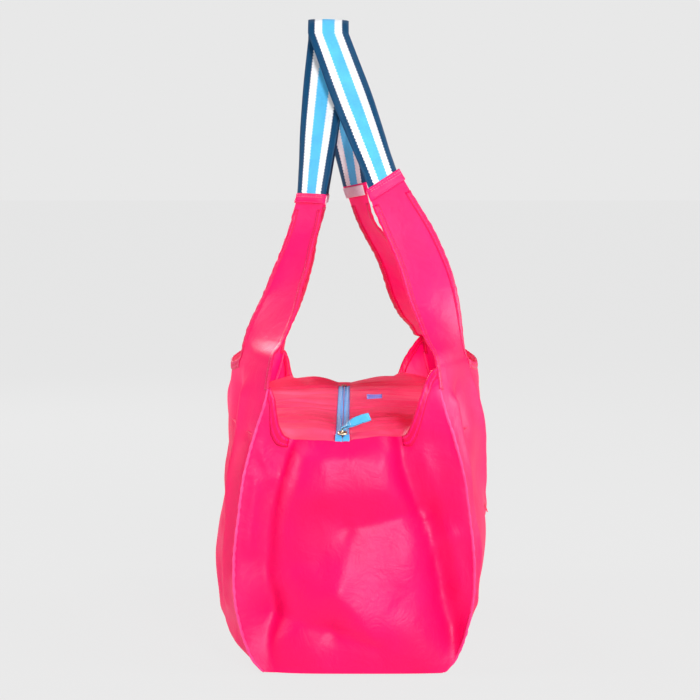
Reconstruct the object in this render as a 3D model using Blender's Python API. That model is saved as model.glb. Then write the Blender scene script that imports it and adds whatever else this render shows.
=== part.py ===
"""Foldable tote bag, standing open-handled on the floor: a soft body of two long panels, two end
gussets and a base, a zipped roof set below the rim, and two carrying loops of webbing sewn into arms.

X runs along the bag (right end at +X), Y across it (front panel at -Y), Z up from the floor.
Sizes are in millimetres here and become metres when each solid is made.
"""
import bpy
import numpy as np
from mathutils import Matrix, Vector

MM = 0.001

# Fabric, hems and webbing
CLOTH = 2.0            # fabric wall as a stand-in solid
GAP = 0.3              # clearance between two neighbouring pieces
SEAM_CLEAR = 1.0       # clearance beside a curved corner seam
HEM = 7.0              # height of a folded hem
HEM_THICK = 3.0
WEBBING_WIDTH = 38.0
WEBBING_THICK = 1.6

# Body: half length at the corner seams, half widths of the outer wall against height
HALF_LENGTH = 200.0
HALF_WIDTH_AT_SEAM = ((0, 78), (8, 85), (25, 93), (50, 101), (90, 105), (130, 101), (170, 94),
                      (205, 86), (235, 76.5), (250, 73), (262, 71), (275, 70))
HALF_WIDTH_AT_MIDDLE = ((0, 94), (10, 103), (30, 112), (60, 118), (100, 121.5), (140, 121.5),
                        (180, 119), (220, 116.5), (262, 113), (275, 112))
END_BULGE = ((0, 6), (60, 10), (130, 10), (205, 4), (250, 0), (275, 0))
SEAM_TOP = 250.0       # the gusset's top corners
ARM_LINE = 275.0       # the panel's cut line under the arms
ARM_FOOT_END = 184.0   # end-side corner of an arm's foot
ARM_FOOT_NECK = 104.0  # neck-side corner of an arm's foot
NECK_LOW = 264.0       # top of the long neckline between two arms
PANEL_POWER = 2.2      # how full the panel's curve is between its seams

# Roof and zip
ROOF_HEIGHT = 213.0    # top of the roof at the middle of the bag
ROOF_FALL = 0.0275     # drop towards the right end per millimetre
ZIP_Y = -10.0
ZIP_RIGHT = HALF_LENGTH - 4
ZIP_LEFT = 50 - HALF_LENGTH
SLOT_HALF = 0.6        # slot for the slider's post
COIL_WIDTH = 1.6
COIL_THICK = 2.0
TAPE_WIDTH = 3.6
TAPE_THICK = 0.9
SLIDER_LENGTH = 12.0
SLIDER_WIDTH = 8.5
SLIDER_PLATE = 1.2
SLIDER_REST = ZIP_RIGHT - SLIDER_LENGTH / 2 - 4
BRIDGE_BAR = 1.1
BRIDGE_RISE = 2.6      # bar centre above the top plate
PULL_LENGTH = 26.0
PULL_WIDTH = 7.4
PULL_LIFT = 24.0       # degrees above the roof at rest

# Carrying loops. Each arm is given by its neck-side and end-side edges, foot to cuff, with x taken
# outwards from the middle of the bag. The back loop's left arm hangs turned, nearer the bag's middle
HINGE_Y = 103.0
HINGE_Z = ARM_LINE + 0.5
FRONT_ARM = (((104, -100, 275.6), (184, -70, 275.6)),
             ((100, -97.5, 290), (171, -60.5, 287)),
             ((95, -90.5, 307), (157, -53, 305)),
             ((90, -82, 325), (141, -46, 327)),
             ((85, -74, 345), (127, -41, 347)),
             ((79, -66, 364), (115, -37, 366)),
             ((74, -58, 388), (106, -31, 389)),
             ((70, -51, 415), (98, -26, 414)))
BACK_ARM = (((104, 100, 275.6), (184, 70, 275.6)),
            ((102, 97.5, 290), (172, 62, 288)),
            ((98, 95, 308), (156, 55, 305)),
            ((93, 91.5, 331), (142, 47.5, 326)),
            ((86, 86, 353), (130, 41, 345)),
            ((79, 75, 377), (118, 33, 367)),
            ((74, 60, 402), (107, 23, 391)),
            ((70, 40, 437), (98, 12, 419)))
BACK_LEFT_ARM = (((104, 100, 275.6), (184, 70, 275.6)),
                 ((102, 91, 291), (167, 50, 289)),
                 ((98, 78, 310), (150, 38, 308)),
                 ((92, 63, 333), (137, 30, 330)),
                 ((85, 47, 355), (125, 21, 352)),
                 ((79, 32, 373), (114, 11, 371)),
                 ((75, 19.5, 390), (107, 3, 387)),
                 ((69, 10.5, 425), (99, -9.5, 421)))
CUFF_SHARE = 0.33      # share of the last arm span that the cuff covers
LOOP_Y = -24.0         # both loops lean to the front at their tops
LOOP_TOP = 577.0
LOOP_BEND = 23.0       # bend radius of the outer loop over a hand or rod
NEST = 14.0            # how far the front loop lies inside the back one

ROUND = 20             # sides of a small round piece


def along(table, value):
    """A smooth curve through (position, size) pairs."""
    at, size = (np.array(column, float) for column in zip(*table))
    slope = np.gradient(size, at)
    k = np.clip(np.searchsorted(at, value, side="right") - 1, 0, len(at) - 2)
    span = at[k + 1] - at[k]
    t = np.clip((np.asarray(value, float) - at[k]) / span, 0, 1)
    return ((1 + 2 * t) * (1 - t) ** 2 * size[k] + t * (1 - t) ** 2 * span * slope[k]
            + t * t * (3 - 2 * t) * size[k + 1] - t * t * (1 - t) * span * slope[k + 1])


def smoothstep(a, b, value):
    t = np.clip((value - a) / (b - a), 0, 1)
    return t * t * (3 - 2 * t)


def material(name, colour, roughness, metallic=0.0):
    made = bpy.data.materials.new(name)
    made.use_nodes = True
    shader = made.node_tree.nodes["Principled BSDF"]
    shader.inputs["Base Color"].default_value = (*colour, 1)
    shader.inputs["Roughness"].default_value = roughness
    shader.inputs["Metallic"].default_value = metallic
    return made


def mesh_object(name, points, faces, surface, smooth=True):
    mesh = bpy.data.meshes.new(name)
    mesh.from_pydata([tuple(p) for p in np.asarray(points, float) * MM], [], faces)
    mesh.validate()
    mesh.update()
    obj = bpy.data.objects.new(name, mesh)
    bpy.context.scene.collection.objects.link(obj)
    mesh.materials.append(surface)
    for face in mesh.polygons:
        face.use_smooth = smooth
    return obj


def outward(points, faces):
    """The faces, all turned so that the closed surface points outwards."""
    volume = 0.0
    for face in faces:
        for b, c in zip(face[1:], face[2:]):
            volume += np.dot(points[face[0]], np.cross(points[b], points[c]))
    return faces if volume > 0 else [face[::-1] for face in faces]


def sheet(name, outer, inner, surface):
    """A closed solid between two grids of points, each shaped (rows, columns, 3)."""
    rows, columns = outer.shape[:2]
    points = np.concatenate([outer.reshape(-1, 3), inner.reshape(-1, 3)])
    half = rows * columns
    faces = []
    for r in range(rows - 1):
        for c in range(columns - 1):
            a = r * columns + c
            for corner in ((a, a + 1, a + columns + 1), (a, a + columns + 1, a + columns)):
                faces.append(corner)
                faces.append(tuple(half + k for k in corner[::-1]))
    rim = ([c for c in range(columns)] + [r * columns + columns - 1 for r in range(1, rows)]
           + [(rows - 1) * columns + c for c in range(columns - 2, -1, -1)]
           + [r * columns for r in range(rows - 2, 0, -1)])
    for a, b in zip(rim, rim[1:] + rim[:1]):
        faces.append((b, a, half + a, half + b))
    return mesh_object(name, points, outward(points, faces), surface)


def offset(grid, depth):
    """The grid moved along its own normals."""
    rise = np.gradient(grid, axis=0)
    run = np.gradient(grid, axis=1)
    normal = np.cross(rise, run)
    return grid + depth * normal / np.linalg.norm(normal, axis=2, keepdims=True)


def box(name, low, high, surface):
    x0, y0, z0 = low
    x1, y1, z1 = high
    points = [(x, y, z) for x in (x0, x1) for y in (y0, y1) for z in (z0, z1)]
    faces = [(0, 1, 3, 2), (4, 6, 7, 5), (0, 4, 5, 1), (2, 3, 7, 6), (0, 2, 6, 4), (1, 5, 7, 3)]
    points = np.array(points, float)
    return mesh_object(name, points, outward(points, faces), surface, smooth=False)


def along_x(name, outline, x0, x1, surface, smooth=True):
    """A prism along X with a closed (y, z) outline."""
    count = len(outline)
    points = np.array([(x, y, z) for x in (x0, x1) for y, z in outline], float)
    faces = [tuple(range(count)), tuple(range(2 * count - 1, count - 1, -1))]
    faces += [(k, count + k, count + (k + 1) % count, (k + 1) % count) for k in range(count)]
    return mesh_object(name, points, outward(points, faces), surface, smooth)


def combine(obj, others, operation):
    for other in others:
        change = obj.modifiers.new(operation.lower(), "BOOLEAN")
        change.operation = operation
        change.solver = "EXACT"
        change.object = other
        other.hide_render = True
        other.display_type = "WIRE"


def hang_on(name, at, pieces):
    """An empty on a joint axis, carrying the pieces that turn or slide with it."""
    axis = bpy.data.objects.new(name, None)
    bpy.context.scene.collection.objects.link(axis)
    axis.location = Vector(at) * MM
    axis.empty_display_size = 0.02
    for piece in pieces:
        piece.parent = axis
        piece.matrix_parent_inverse = Matrix.Translation(-Vector(at) * MM)
    return axis


for thing in list(bpy.data.objects):
    bpy.data.objects.remove(thing, do_unlink=True)

PINK = (1.0, 0.012, 0.16)
HEM_RED = (0.80, 0.0, 0.045)
SKY = (0.13, 0.55, 0.93)


# Long panels: cut on the arm line at both ends, dipping to the long neckline between the arms
NECK_SHARE = ARM_FOOT_NECK / ARM_FOOT_END


def half_length(z):
    """The end edge draws in above the gusset's corner, to meet the foot of the arm."""
    drawn_in = smoothstep(SEAM_TOP - 8, ARM_LINE + 10, z) / smoothstep(SEAM_TOP - 8, ARM_LINE + 10, ARM_LINE)
    return HALF_LENGTH - (HALF_LENGTH - ARM_FOOT_END) * drawn_in


def half_width(share, z):
    end = along(HALF_WIDTH_AT_SEAM, z)
    return end + (along(HALF_WIDTH_AT_MIDDLE, z) - end) * (1 - np.abs(share) ** PANEL_POWER)


def panel_grid(shares, low, high, heights, side):
    share, height = np.meshgrid(shares, heights)
    z = low + (high - low) * height
    return np.stack([share * half_length(z), side * half_width(share, z), z], axis=2)


def thicken(grid, step):
    return grid + np.array(step, float)


HEM_END = NECK_SHARE - 0.03
HEM_REACH = 0.98
inner_shares = np.linspace(-HEM_END, HEM_END, 11)
outer_shares = np.linspace(NECK_SHARE, 1, 5)
panel_shares = np.concatenate([-outer_shares[::-1], inner_shares, outer_shares])
panel_tops = np.where(np.abs(panel_shares) < NECK_SHARE - 0.01, NECK_LOW - HEM - GAP, ARM_LINE)
PANEL_HEIGHTS = (0, 0.03, 0.09, 0.18, 0.3, 0.44, 0.58, 0.72, 0.84, 0.93, 1)
FLOOR_CLEAR = CLOTH + GAP
for side, word in ((-1, "front"), (1, "back")):
    grid = panel_grid(panel_shares, FLOOR_CLEAR, panel_tops, PANEL_HEIGHTS, side)
    sheet(f"{word}_panel", grid, thicken(grid, (0, -side * CLOTH, 0)),
          material(f"{word} panel nylon", PINK, 0.42))
    hem_grid = panel_grid(inner_shares * HEM_REACH, NECK_LOW - HEM, NECK_LOW, (0, 1), side)
    hem_grid[:, :, 1] += side * 0.5
    sheet(f"{word}_neck_hem", hem_grid, thicken(hem_grid, (0, -side * HEM_THICK, 0)),
          material(f"{word} neckline hem", HEM_RED, 0.5))


# End gussets, with a U neckline that drops to the roof, and its folded hem
def roof_top(x):
    return ROOF_HEIGHT - ROOF_FALL * x


def gusset_inside(z):
    return along(HALF_WIDTH_AT_SEAM, z) - CLOTH - SEAM_CLEAR


def neckline(share, low):
    return low + (SEAM_TOP - low) * smoothstep(0.62, 0.99, np.abs(share))


def end_grid(shares, low, high, heights, end):
    share, height = np.meshgrid(shares, heights)
    z = low + (high - low) * height
    x = HALF_LENGTH + along(END_BULGE, z) * (1 - share ** 2)
    return np.stack([end * x, share * gusset_inside(z), z], axis=2)


end_shares = np.array([-1, -0.93, -0.84, -0.75, -0.66, -0.56, -0.36, -0.12,
                       0.12, 0.36, 0.56, 0.66, 0.75, 0.84, 0.93, 1])
for end, word in ((1, "right"), (-1, "left")):
    low = roof_top(end * HALF_LENGTH)
    top = neckline(end_shares, low)
    slope = np.gradient(top, end_shares * 76.0)
    hem_foot = top - HEM * np.sqrt(1 + slope ** 2)
    grid = end_grid(end_shares, FLOOR_CLEAR, hem_foot - GAP, PANEL_HEIGHTS[:8] + (0.88, 1), end)
    sheet(f"{word}_gusset", grid, thicken(grid, (-end * CLOTH, 0, 0)),
          material(f"{word} gusset nylon", PINK, 0.42))
    hem_grid = end_grid(end_shares, hem_foot, top, (0, 1), end)
    sheet(f"{word}_neck_hem", hem_grid, thicken(hem_grid, (-end * CLOTH, 0, 0)),
          material(f"{word} neckline hem", HEM_RED, 0.5))


# Base: a flat sheet under the walls
share, across = np.meshgrid(np.linspace(-1, 1, 17), np.linspace(-1, 1, 7))
base_x = share * (HALF_LENGTH + along(END_BULGE, 0.0) * (1 - across ** 2))
base_y = across * half_width(share, np.zeros_like(share))
base_grid = np.stack([base_x, base_y, np.zeros_like(share)], axis=2)
sheet("base_panel", thicken(base_grid, (0, 0, CLOTH)), base_grid,
      material("base nylon", PINK, 0.45))


# Roof panels, from the zip to the long panels, falling gently to the right end
def roof_end(y, x_sign):
    z = roof_top(x_sign * HALF_LENGTH)
    bulge = along(END_BULGE, z) * (1 - (y / gusset_inside(z)) ** 2)
    return x_sign * (HALF_LENGTH + bulge - CLOTH - GAP)


ZIP_HALF = SLOT_HALF + COIL_WIDTH + TAPE_WIDTH + 2 * GAP
for side, word in ((-1, "front"), (1, "back")):
    share, across = np.meshgrid(np.linspace(-1, 1, 17), np.linspace(0, 1, 4))
    zip_edge = ZIP_Y + side * (ZIP_HALF + GAP)
    z = roof_top(share * HALF_LENGTH)
    wall = side * (half_width(share, z) - CLOTH - 4 * GAP)
    y = zip_edge + (wall - zip_edge) * across
    x = np.abs(share) * np.where(share > 0, roof_end(y, 1), roof_end(y, -1))
    grid = np.stack([x, y, roof_top(x)], axis=2)
    sheet(f"{word}_roof", grid, thicken(grid, (0, 0, -CLOTH)),
          material(f"{word} roof nylon", (1.0, 0.13, 0.22), 0.45))


# Zip: two tapes with their coils, a stop at each end, and a cloth strip past the left end
def strip(name, x0, x1, y0, y1, above0, above1, surface):
    """A straight bar that follows the roof's fall, from above0 to above1 over the roof's top."""
    points = [(x, y, roof_top(x) + dz) for x in (x0, x1) for y in (y0, y1)
              for dz in (above0, above1)]
    faces = [(0, 1, 3, 2), (4, 6, 7, 5), (0, 4, 5, 1), (2, 3, 7, 6), (0, 2, 6, 4), (1, 5, 7, 3)]
    points = np.array(points, float)
    return mesh_object(name, points, outward(points, faces), surface, smooth=False)


tape_top = -(COIL_THICK - TAPE_THICK) / 2
for side, word in ((-1, "front"), (1, "back")):
    coil_in = ZIP_Y + side * SLOT_HALF
    coil_out = coil_in + side * COIL_WIDTH
    tape_in = coil_out + side * GAP
    tape_out = tape_in + side * TAPE_WIDTH
    strip(f"{word}_zip_coil", ZIP_LEFT, ZIP_RIGHT - 5, *sorted((coil_in, coil_out)),
          -COIL_THICK, 0, material(f"{word} coil nylon", (0.10, 0.38, 0.78), 0.35))
    strip(f"{word}_zip_tape", ZIP_LEFT, ZIP_RIGHT - 1, *sorted((tape_in, tape_out)),
          tape_top - TAPE_THICK, tape_top, material(f"{word} tape polyester", SKY, 0.6))
stop_half = SLOT_HALF + COIL_WIDTH + 0.8
METAL = (0.83, 0.68, 0.42)
strip("right_zip_stop", SLIDER_REST + SLIDER_LENGTH / 2 + 0.5, SLIDER_REST + SLIDER_LENGTH / 2 + 3,
      ZIP_Y - stop_half, ZIP_Y + stop_half, GAP, GAP + 1.2, material("right stop brass", METAL, 0.3, 1))
strip("left_zip_stop", ZIP_LEFT + 1, ZIP_LEFT + 3.5, ZIP_Y - stop_half, ZIP_Y + stop_half,
      GAP, GAP + 1.2, material("left stop brass", METAL, 0.3, 1))
strip("left_zip_strip", roof_end(ZIP_Y, -1), ZIP_LEFT - GAP, ZIP_Y - ZIP_HALF, ZIP_Y + ZIP_HALF,
      -CLOTH, 0, material("zip end strip nylon", PINK, 0.45))


# Slider: plates above and under the coils, a post between them, and a bridge for the pull
def slider_bar(name, half_x, half_y, above0, above1, at=0.0):
    return strip(name, SLIDER_REST + at - half_x, SLIDER_REST + at + half_x,
                 ZIP_Y - half_y, ZIP_Y + half_y, above0, above1, slider_metal)


slider_metal = material("slider metal", METAL, 0.28, 1)
plate_top = GAP + SLIDER_PLATE
bar_height = plate_top + BRIDGE_RISE
leg_at = SLIDER_LENGTH / 2 - 0.7
slider = slider_bar("zip_slider", SLIDER_LENGTH / 2, SLIDER_WIDTH / 2, GAP, plate_top)
combine(slider, [
    slider_bar("slider_under", SLIDER_LENGTH / 2, SLIDER_WIDTH / 2,
               -COIL_THICK - GAP - SLIDER_PLATE, -COIL_THICK - GAP),
    slider_bar("slider_post", 1.5, SLOT_HALF - GAP, -COIL_THICK - GAP - 0.5, GAP + 0.5),
    slider_bar("slider_leg_right", 0.7, 1.2, plate_top - 0.5, bar_height + 0.9, leg_at),
    slider_bar("slider_leg_left", 0.7, 1.2, plate_top - 0.5, bar_height + 0.9, -leg_at),
    slider_bar("slider_bar", leg_at, BRIDGE_BAR / 2, bar_height - BRIDGE_BAR / 2,
               bar_height + BRIDGE_BAR / 2)], "UNION")

# Pull: a ribbon folded round the bridge bar, lying to the back with its tip lifted
pull_z = roof_top(SLIDER_REST) + bar_height
eye_out, eye_in, ribbon_half = 2.0, 1.15, 0.8
lean = np.radians(PULL_LIFT)
forward = np.array((np.cos(lean), np.sin(lean)))
upward = np.array((-np.sin(lean), np.cos(lean)))
open_angle = np.arcsin(ribbon_half / eye_out)
turns = np.linspace(open_angle, 2 * np.pi - open_angle, ROUND)
outline = [eye_out * (np.cos(t) * forward + np.sin(t) * upward) for t in turns]
outline += [PULL_LENGTH * forward - ribbon_half * upward, PULL_LENGTH * forward + ribbon_half * upward]
outline = [(ZIP_Y + p[0], pull_z + p[1]) for p in outline]
pull_x = (SLIDER_REST - PULL_WIDTH / 2, SLIDER_REST + PULL_WIDTH / 2)
pull = along_x("pull_ribbon", outline, *pull_x, material("pull ribbon", SKY, 0.5))
hole = along_x("pull_eye", [(ZIP_Y + eye_in * np.cos(t), pull_z + eye_in * np.sin(t))
                            for t in np.linspace(0, 2 * np.pi, ROUND, endpoint=False)],
               pull_x[0] - 1, pull_x[1] + 1, slider_metal)
combine(pull, [hole], "DIFFERENCE")
hang_on("slider_axis", (SLIDER_REST, ZIP_Y, roof_top(SLIDER_REST)), [slider])
hang_on("pull_axis", (SLIDER_REST, ZIP_Y, pull_z), [pull])


# Small labels: one on the back roof, one on the back panel
LABEL_AT = (-43.0, 20.0)
label = np.array([[(LABEL_AT[0] + dx, LABEL_AT[1] + dy, roof_top(LABEL_AT[0]) + lift + 0.8)
                   for dx, lift in ((5, 0.2), (0, 1.2), (-6, 3.8))] for dy in (-7.5, 7.5)])
sheet("roof_label", label, thicken(label, (0, 0, 0.9)), material("roof label", (0.25, 0.35, 0.9), 0.6))
SIDE_LABEL_X, SIDE_LABEL_Z = 55.0, 125.0
side_y = half_width(SIDE_LABEL_X / HALF_LENGTH, SIDE_LABEL_Z)
box("side_label", (SIDE_LABEL_X - 5, side_y + GAP + 0.4, SIDE_LABEL_Z - 5.5),
    (SIDE_LABEL_X + 5, side_y + 3.4, SIDE_LABEL_Z + 5.5), material("side label", HEM_RED, 0.6))


# Carrying loops: an arm at each end, a folded cuff, and webbing over the top from cuff to cuff
def mirrored(points, end):
    return np.asarray(points, float) * np.array((end, 1, 1))


def arm_grid(stations, columns=4):
    steps = np.linspace(0, 1, columns)[:, None, None]
    edges = np.array(stations, float)
    neck, side = edges[:, 0], edges[:, 1]
    grid = neck[None] * (1 - steps) + side[None] * steps
    return grid.transpose(1, 0, 2)


def webbing_half(stations, loop_top, bend, legs=12, turn=8):
    """Rows of (one edge, middle, other edge) from a cuff at the right end to the top of the loop."""
    neck, side = np.array(stations[-1], float)
    if neck[1] > side[1]:
        low_edge, high_edge = side, neck
    else:
        low_edge, high_edge = neck, side
    cuff, cuff_half = (low_edge + high_edge) / 2, (high_edge - low_edge) / 2
    cuff_half *= WEBBING_WIDTH / 2 / np.linalg.norm(cuff_half)
    middle = np.array((0.0, loop_top - bend))
    reach = np.array((cuff[0], cuff[2])) - middle
    distance = np.hypot(*reach)
    arc = np.arctan2(reach[0], reach[1]) - np.arccos(bend / distance)
    leave = middle + bend * np.array((np.sin(arc), np.cos(arc)))
    rows = []
    for t in np.linspace(0, 1, legs):
        x, z = np.array((cuff[0], cuff[2])) * (1 - t) + leave * t
        lean = LOOP_Y + (cuff[1] - LOOP_Y) * (1 - t)
        turned = smoothstep(0, 1.15, 1 - t)
        across = cuff_half * turned + np.array((0, WEBBING_WIDTH / 2, 0)) * (1 - turned)
        across *= WEBBING_WIDTH / 2 / np.linalg.norm(across)
        rows.append((np.array((x, lean, z)), across))
    for t in np.linspace(1, 0, turn)[1:]:
        x, z = middle + bend * np.array((np.sin(arc * t), np.cos(arc * t)))
        rows.append((np.array((x, LOOP_Y, z)), np.array((0, WEBBING_WIDTH / 2, 0))))
    return np.array([[c - a, c, c + a] for c, a in rows])


def cuff_sleeve(name, low, high, surface, end):
    """A flat sleeve round the join of arm and webbing, between two (edge, edge) stations."""
    rings = []
    for edge_a, edge_b in (low, high):
        across = (edge_b - edge_a) / np.linalg.norm(edge_b - edge_a)
        spare = max(0, WEBBING_WIDTH - np.linalg.norm(edge_b - edge_a)) / 2
        edge_a, edge_b = edge_a - across * spare, edge_b + across * spare
        climb = (high[0] + high[1] - low[0] - low[1]) / 2
        face = np.cross(across, climb)
        face /= np.linalg.norm(face)
        for margin, depth in ((2.6, 3.4), (0.8, 2.1)):
            for a, b in ((-1, -1), (1, -1), (1, 1), (-1, 1)):
                edge = edge_a - across * margin if a < 0 else edge_b + across * margin
                rings.append(edge + b * depth * face)
    points = mirrored(rings, end)
    faces = []
    for k in range(4):
        n = (k + 1) % 4
        faces += [(k, n, 8 + n, 8 + k), (4 + n, 4 + k, 12 + k, 12 + n),
                  (n, k, 4 + k, 4 + n), (8 + k, 8 + n, 12 + n, 12 + k)]
    return mesh_object(name, points, outward(points, faces), surface, smooth=False)


LOOPS = (("front", (FRONT_ARM, FRONT_ARM), LOOP_TOP - NEST, LOOP_BEND - NEST, -1),
         ("back", (BACK_ARM, BACK_LEFT_ARM), LOOP_TOP, LOOP_BEND, 1))
for word, arms, loop_top, bend, side in LOOPS:
    moving, halves = [], []
    for end, place, stations in ((1, "right", arms[0]), (-1, "left", arms[1])):
        edges = np.array(stations, float)
        cuff_foot = edges[-1] + (edges[-2] - edges[-1]) * CUFF_SHARE
        climb = edges[-1].mean(axis=0) - cuff_foot.mean(axis=0)
        climb /= np.linalg.norm(climb)
        arm_edges = np.concatenate([edges[:-1], [cuff_foot - 0.2 * climb]])
        grid = arm_grid(arm_edges)
        inward = offset(grid, -side * CLOTH)
        for face in (grid, inward):
            face[..., 2] = np.maximum(face[..., 2], ARM_LINE + 2 * GAP)
        moving.append(sheet(f"{word}_{place}_arm", mirrored(grid, end), mirrored(inward, end),
                            material(f"{word} {place} arm nylon", PINK, 0.42)))
        moving.append(cuff_sleeve(f"{word}_{place}_cuff", cuff_foot + GAP * climb, edges[-1],
                                  material(f"{word} {place} cuff nylon", PINK, 0.45), end))
        tuck = (cuff_foot + 1.2 * climb)[[1, 0] if side > 0 else [0, 1]]
        tucked = np.array([tuck[0], tuck.mean(axis=0), tuck[1]])
        half = webbing_half(stations, loop_top, bend)
        halves.append(mirrored(np.concatenate([[tucked], half]), end))
    loop = np.concatenate([halves[0], halves[1][-2::-1]])
    moving.append(sheet(f"{word}_webbing", offset(loop, WEBBING_THICK / 2),
                        offset(loop, -WEBBING_THICK / 2),
                        material(f"{word} webbing", (0.0, 0.06, 0.18), 0.5)))
    hang_on(f"{word}_handle_axis", (0, side * HINGE_Y, HINGE_Z), moving)
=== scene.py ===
"""Looks of a foldable tote bag in thin neon-pink nylon, standing with its two webbing loops held up.

Lengths are in millimetres unless a name says metres; MM turns them into Blender's metres.
X runs along the bag, -Y is the front panel, +Y the back panel, and Z is up from the floor.
"""

import bpy
import numpy as np
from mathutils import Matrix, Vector


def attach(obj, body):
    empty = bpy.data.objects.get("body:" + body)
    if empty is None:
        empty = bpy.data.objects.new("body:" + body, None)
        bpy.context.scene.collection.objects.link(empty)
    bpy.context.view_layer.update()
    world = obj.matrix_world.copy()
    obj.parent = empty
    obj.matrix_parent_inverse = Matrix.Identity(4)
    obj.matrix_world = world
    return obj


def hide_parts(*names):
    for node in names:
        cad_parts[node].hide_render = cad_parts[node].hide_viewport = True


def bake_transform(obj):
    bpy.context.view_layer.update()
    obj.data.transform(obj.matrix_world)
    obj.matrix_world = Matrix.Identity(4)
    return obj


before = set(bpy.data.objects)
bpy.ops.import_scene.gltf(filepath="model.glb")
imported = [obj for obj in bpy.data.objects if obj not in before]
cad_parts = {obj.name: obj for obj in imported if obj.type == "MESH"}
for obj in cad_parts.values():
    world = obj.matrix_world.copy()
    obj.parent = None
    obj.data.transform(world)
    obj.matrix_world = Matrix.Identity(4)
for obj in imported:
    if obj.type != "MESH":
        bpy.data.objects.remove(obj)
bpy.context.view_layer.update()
MM = 0.001


# ---- Long panels and their arms -------------------------------------------------------------------
# Each side is one cut of thin woven nylon: a wide panel whose two ends carry on upwards as arms.
# It is sewn to the gussets down both ends and to the base along its foot, and it bellies outwards
# because it is limp and the bag is full of air.
HALF_LENGTH = 200.0
SEAM_TOP = 250.0
NECK_SHARE = 0.51       # share of the half length at which the neckline turns up into an arm
NECK_MIDDLE, NECK_CORNER = 259.0, 265.0
PANEL_FOOT = 1.2
HEM = 6.8
HALF_WIDTH_AT_SEAM = ((0, 77), (8, 85), (25, 94), (50, 101), (90, 104.5), (130, 101), (170, 95.5),
                      (205, 87), (235, 77), (250, 73.5), (264, 71.5), (280, 69))
HALF_WIDTH_AT_MIDDLE = ((0, 93), (10, 103), (30, 112.5), (60, 118.5), (100, 122.5), (140, 122),
                        (180, 119), (220, 117.5), (262, 115), (280, 113))
PANEL_POWER = 2.2
FRONT_ARM = (((97, -103, 264), (191, -71.5, 264)), ((101.5, -101, 277), (184, -69, 276)),
             ((100, -97.5, 290), (171, -60.5, 287)), ((95, -90.5, 307), (157, -53, 305)),
             ((90, -82, 325), (141, -46, 327)), ((85, -74, 345), (127, -41, 347)),
             ((79, -66, 364), (115, -37, 366)), ((74, -58, 388), (106, -31, 389)),
             ((70, -51, 415), (98, -26, 414)))
BACK_ARM = (((97, 103, 264), (191, 71.5, 264)), ((102, 99.5, 277), (184, 69, 276)),
            ((102, 97.5, 290), (172, 62, 288)), ((98, 95, 308), (156, 55, 305)),
            ((93, 91.5, 331), (142, 47.5, 326)), ((86, 86, 353), (130, 41, 345)),
            ((79, 75, 377), (118, 33, 367)), ((74, 60, 402), (107, 23, 391)),
            ((70, 40, 437), (98, 12, 419)))
# The back loop's left arm hangs turned, nearer the middle of the bag.
BACK_LEFT_ARM = (((97, 103, 264), (190, 64, 264)), ((102, 98, 277), (181, 58, 276)),
                 ((102, 91, 291), (167, 47, 289)), ((98, 78, 310), (150, 37, 308)),
                 ((92, 63, 333), (137, 30, 330)), ((85, 47, 355), (125, 21, 352)),
                 ((79, 32, 373), (114, 11, 371)), ((75, 19.5, 390), (107, 3, 387)),
                 ((69, 10.5, 425), (99, -9.5, 421)))
ARM_COLUMNS, NECK_COLUMNS, PANEL_ROWS, ARM_ROWS = 16, 34, 46, 30


def smoothstep(a, b, value):
    t = np.clip((value - a) / (b - a), 0, 1)
    return t * t * (3 - 2 * t)


def along(table, value):
    """A smooth curve through (position, size) pairs; size may be a number or a point."""
    at = np.array([row[0] for row in table], float)
    size = np.array([row[1] for row in table], float)
    slope = np.gradient(size, at, axis=0)
    value = np.asarray(value, float)
    k = np.clip(np.searchsorted(at, value, side="right") - 1, 0, len(at) - 2)
    span = at[k + 1] - at[k]
    t = np.clip((value - at[k]) / span, 0, 1)
    if size.ndim > 1:
        span, t = span[..., None], t[..., None]
    return ((1 + 2 * t) * (1 - t) ** 2 * size[k] + t * (1 - t) ** 2 * span * slope[k]
            + t * t * (3 - 2 * t) * size[k + 1] - t * t * (1 - t) * span * slope[k + 1])


def half_length(z):
    """The end edge draws in above the gusset's corner, to meet the foot of the arm."""
    return HALF_LENGTH - 16 * smoothstep(SEAM_TOP - 8, 288, z) / 0.9


def half_width(share, z):
    seam = along(HALF_WIDTH_AT_SEAM, z)
    return seam + (along(HALF_WIDTH_AT_MIDDLE, z) - seam) * (1 - np.abs(share) ** PANEL_POWER)


def across_steps(width, count):
    """Shares from one edge to the other, with one hem's width kept at each edge."""
    hem = HEM / width
    return np.concatenate([[0], np.linspace(hem, 1 - hem, count - 1), [1]])


def smooth_noise(points, size, seed):
    """Slow random swell, from -1 to 1, over features of the given size."""
    rng = np.random.default_rng(seed)
    total = np.zeros(len(points))
    for _ in range(9):
        direction = rng.normal(size=3)
        direction *= 2 * np.pi / size * rng.uniform(0.6, 1.5) / np.linalg.norm(direction)
        total += np.sin(points @ direction + rng.uniform(0, 2 * np.pi))
    return total / 4.0


def creases(u, v, lines):
    """Height of listed folds: each is (u0, v0, u1, v1, height, width), sharp along its line."""
    total = np.zeros_like(u)
    for u0, v0, u1, v1, height, width in lines:
        du, dv = u1 - u0, v1 - v0
        t = ((u - u0) * du + (v - v0) * dv) / (du * du + dv * dv)
        beyond = np.maximum(np.maximum(-t, t - 1), 0) * np.hypot(du, dv)
        inside = np.clip(t, 0, 1)
        away = np.hypot(u - u0 - inside * du, v - v0 - inside * dv)
        away = np.sqrt(away ** 2 + 2.5)
        fade = np.exp(-(beyond / (1.5 * width)) ** 2)
        total += height * np.exp(-away / width) * fade
    return total


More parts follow.
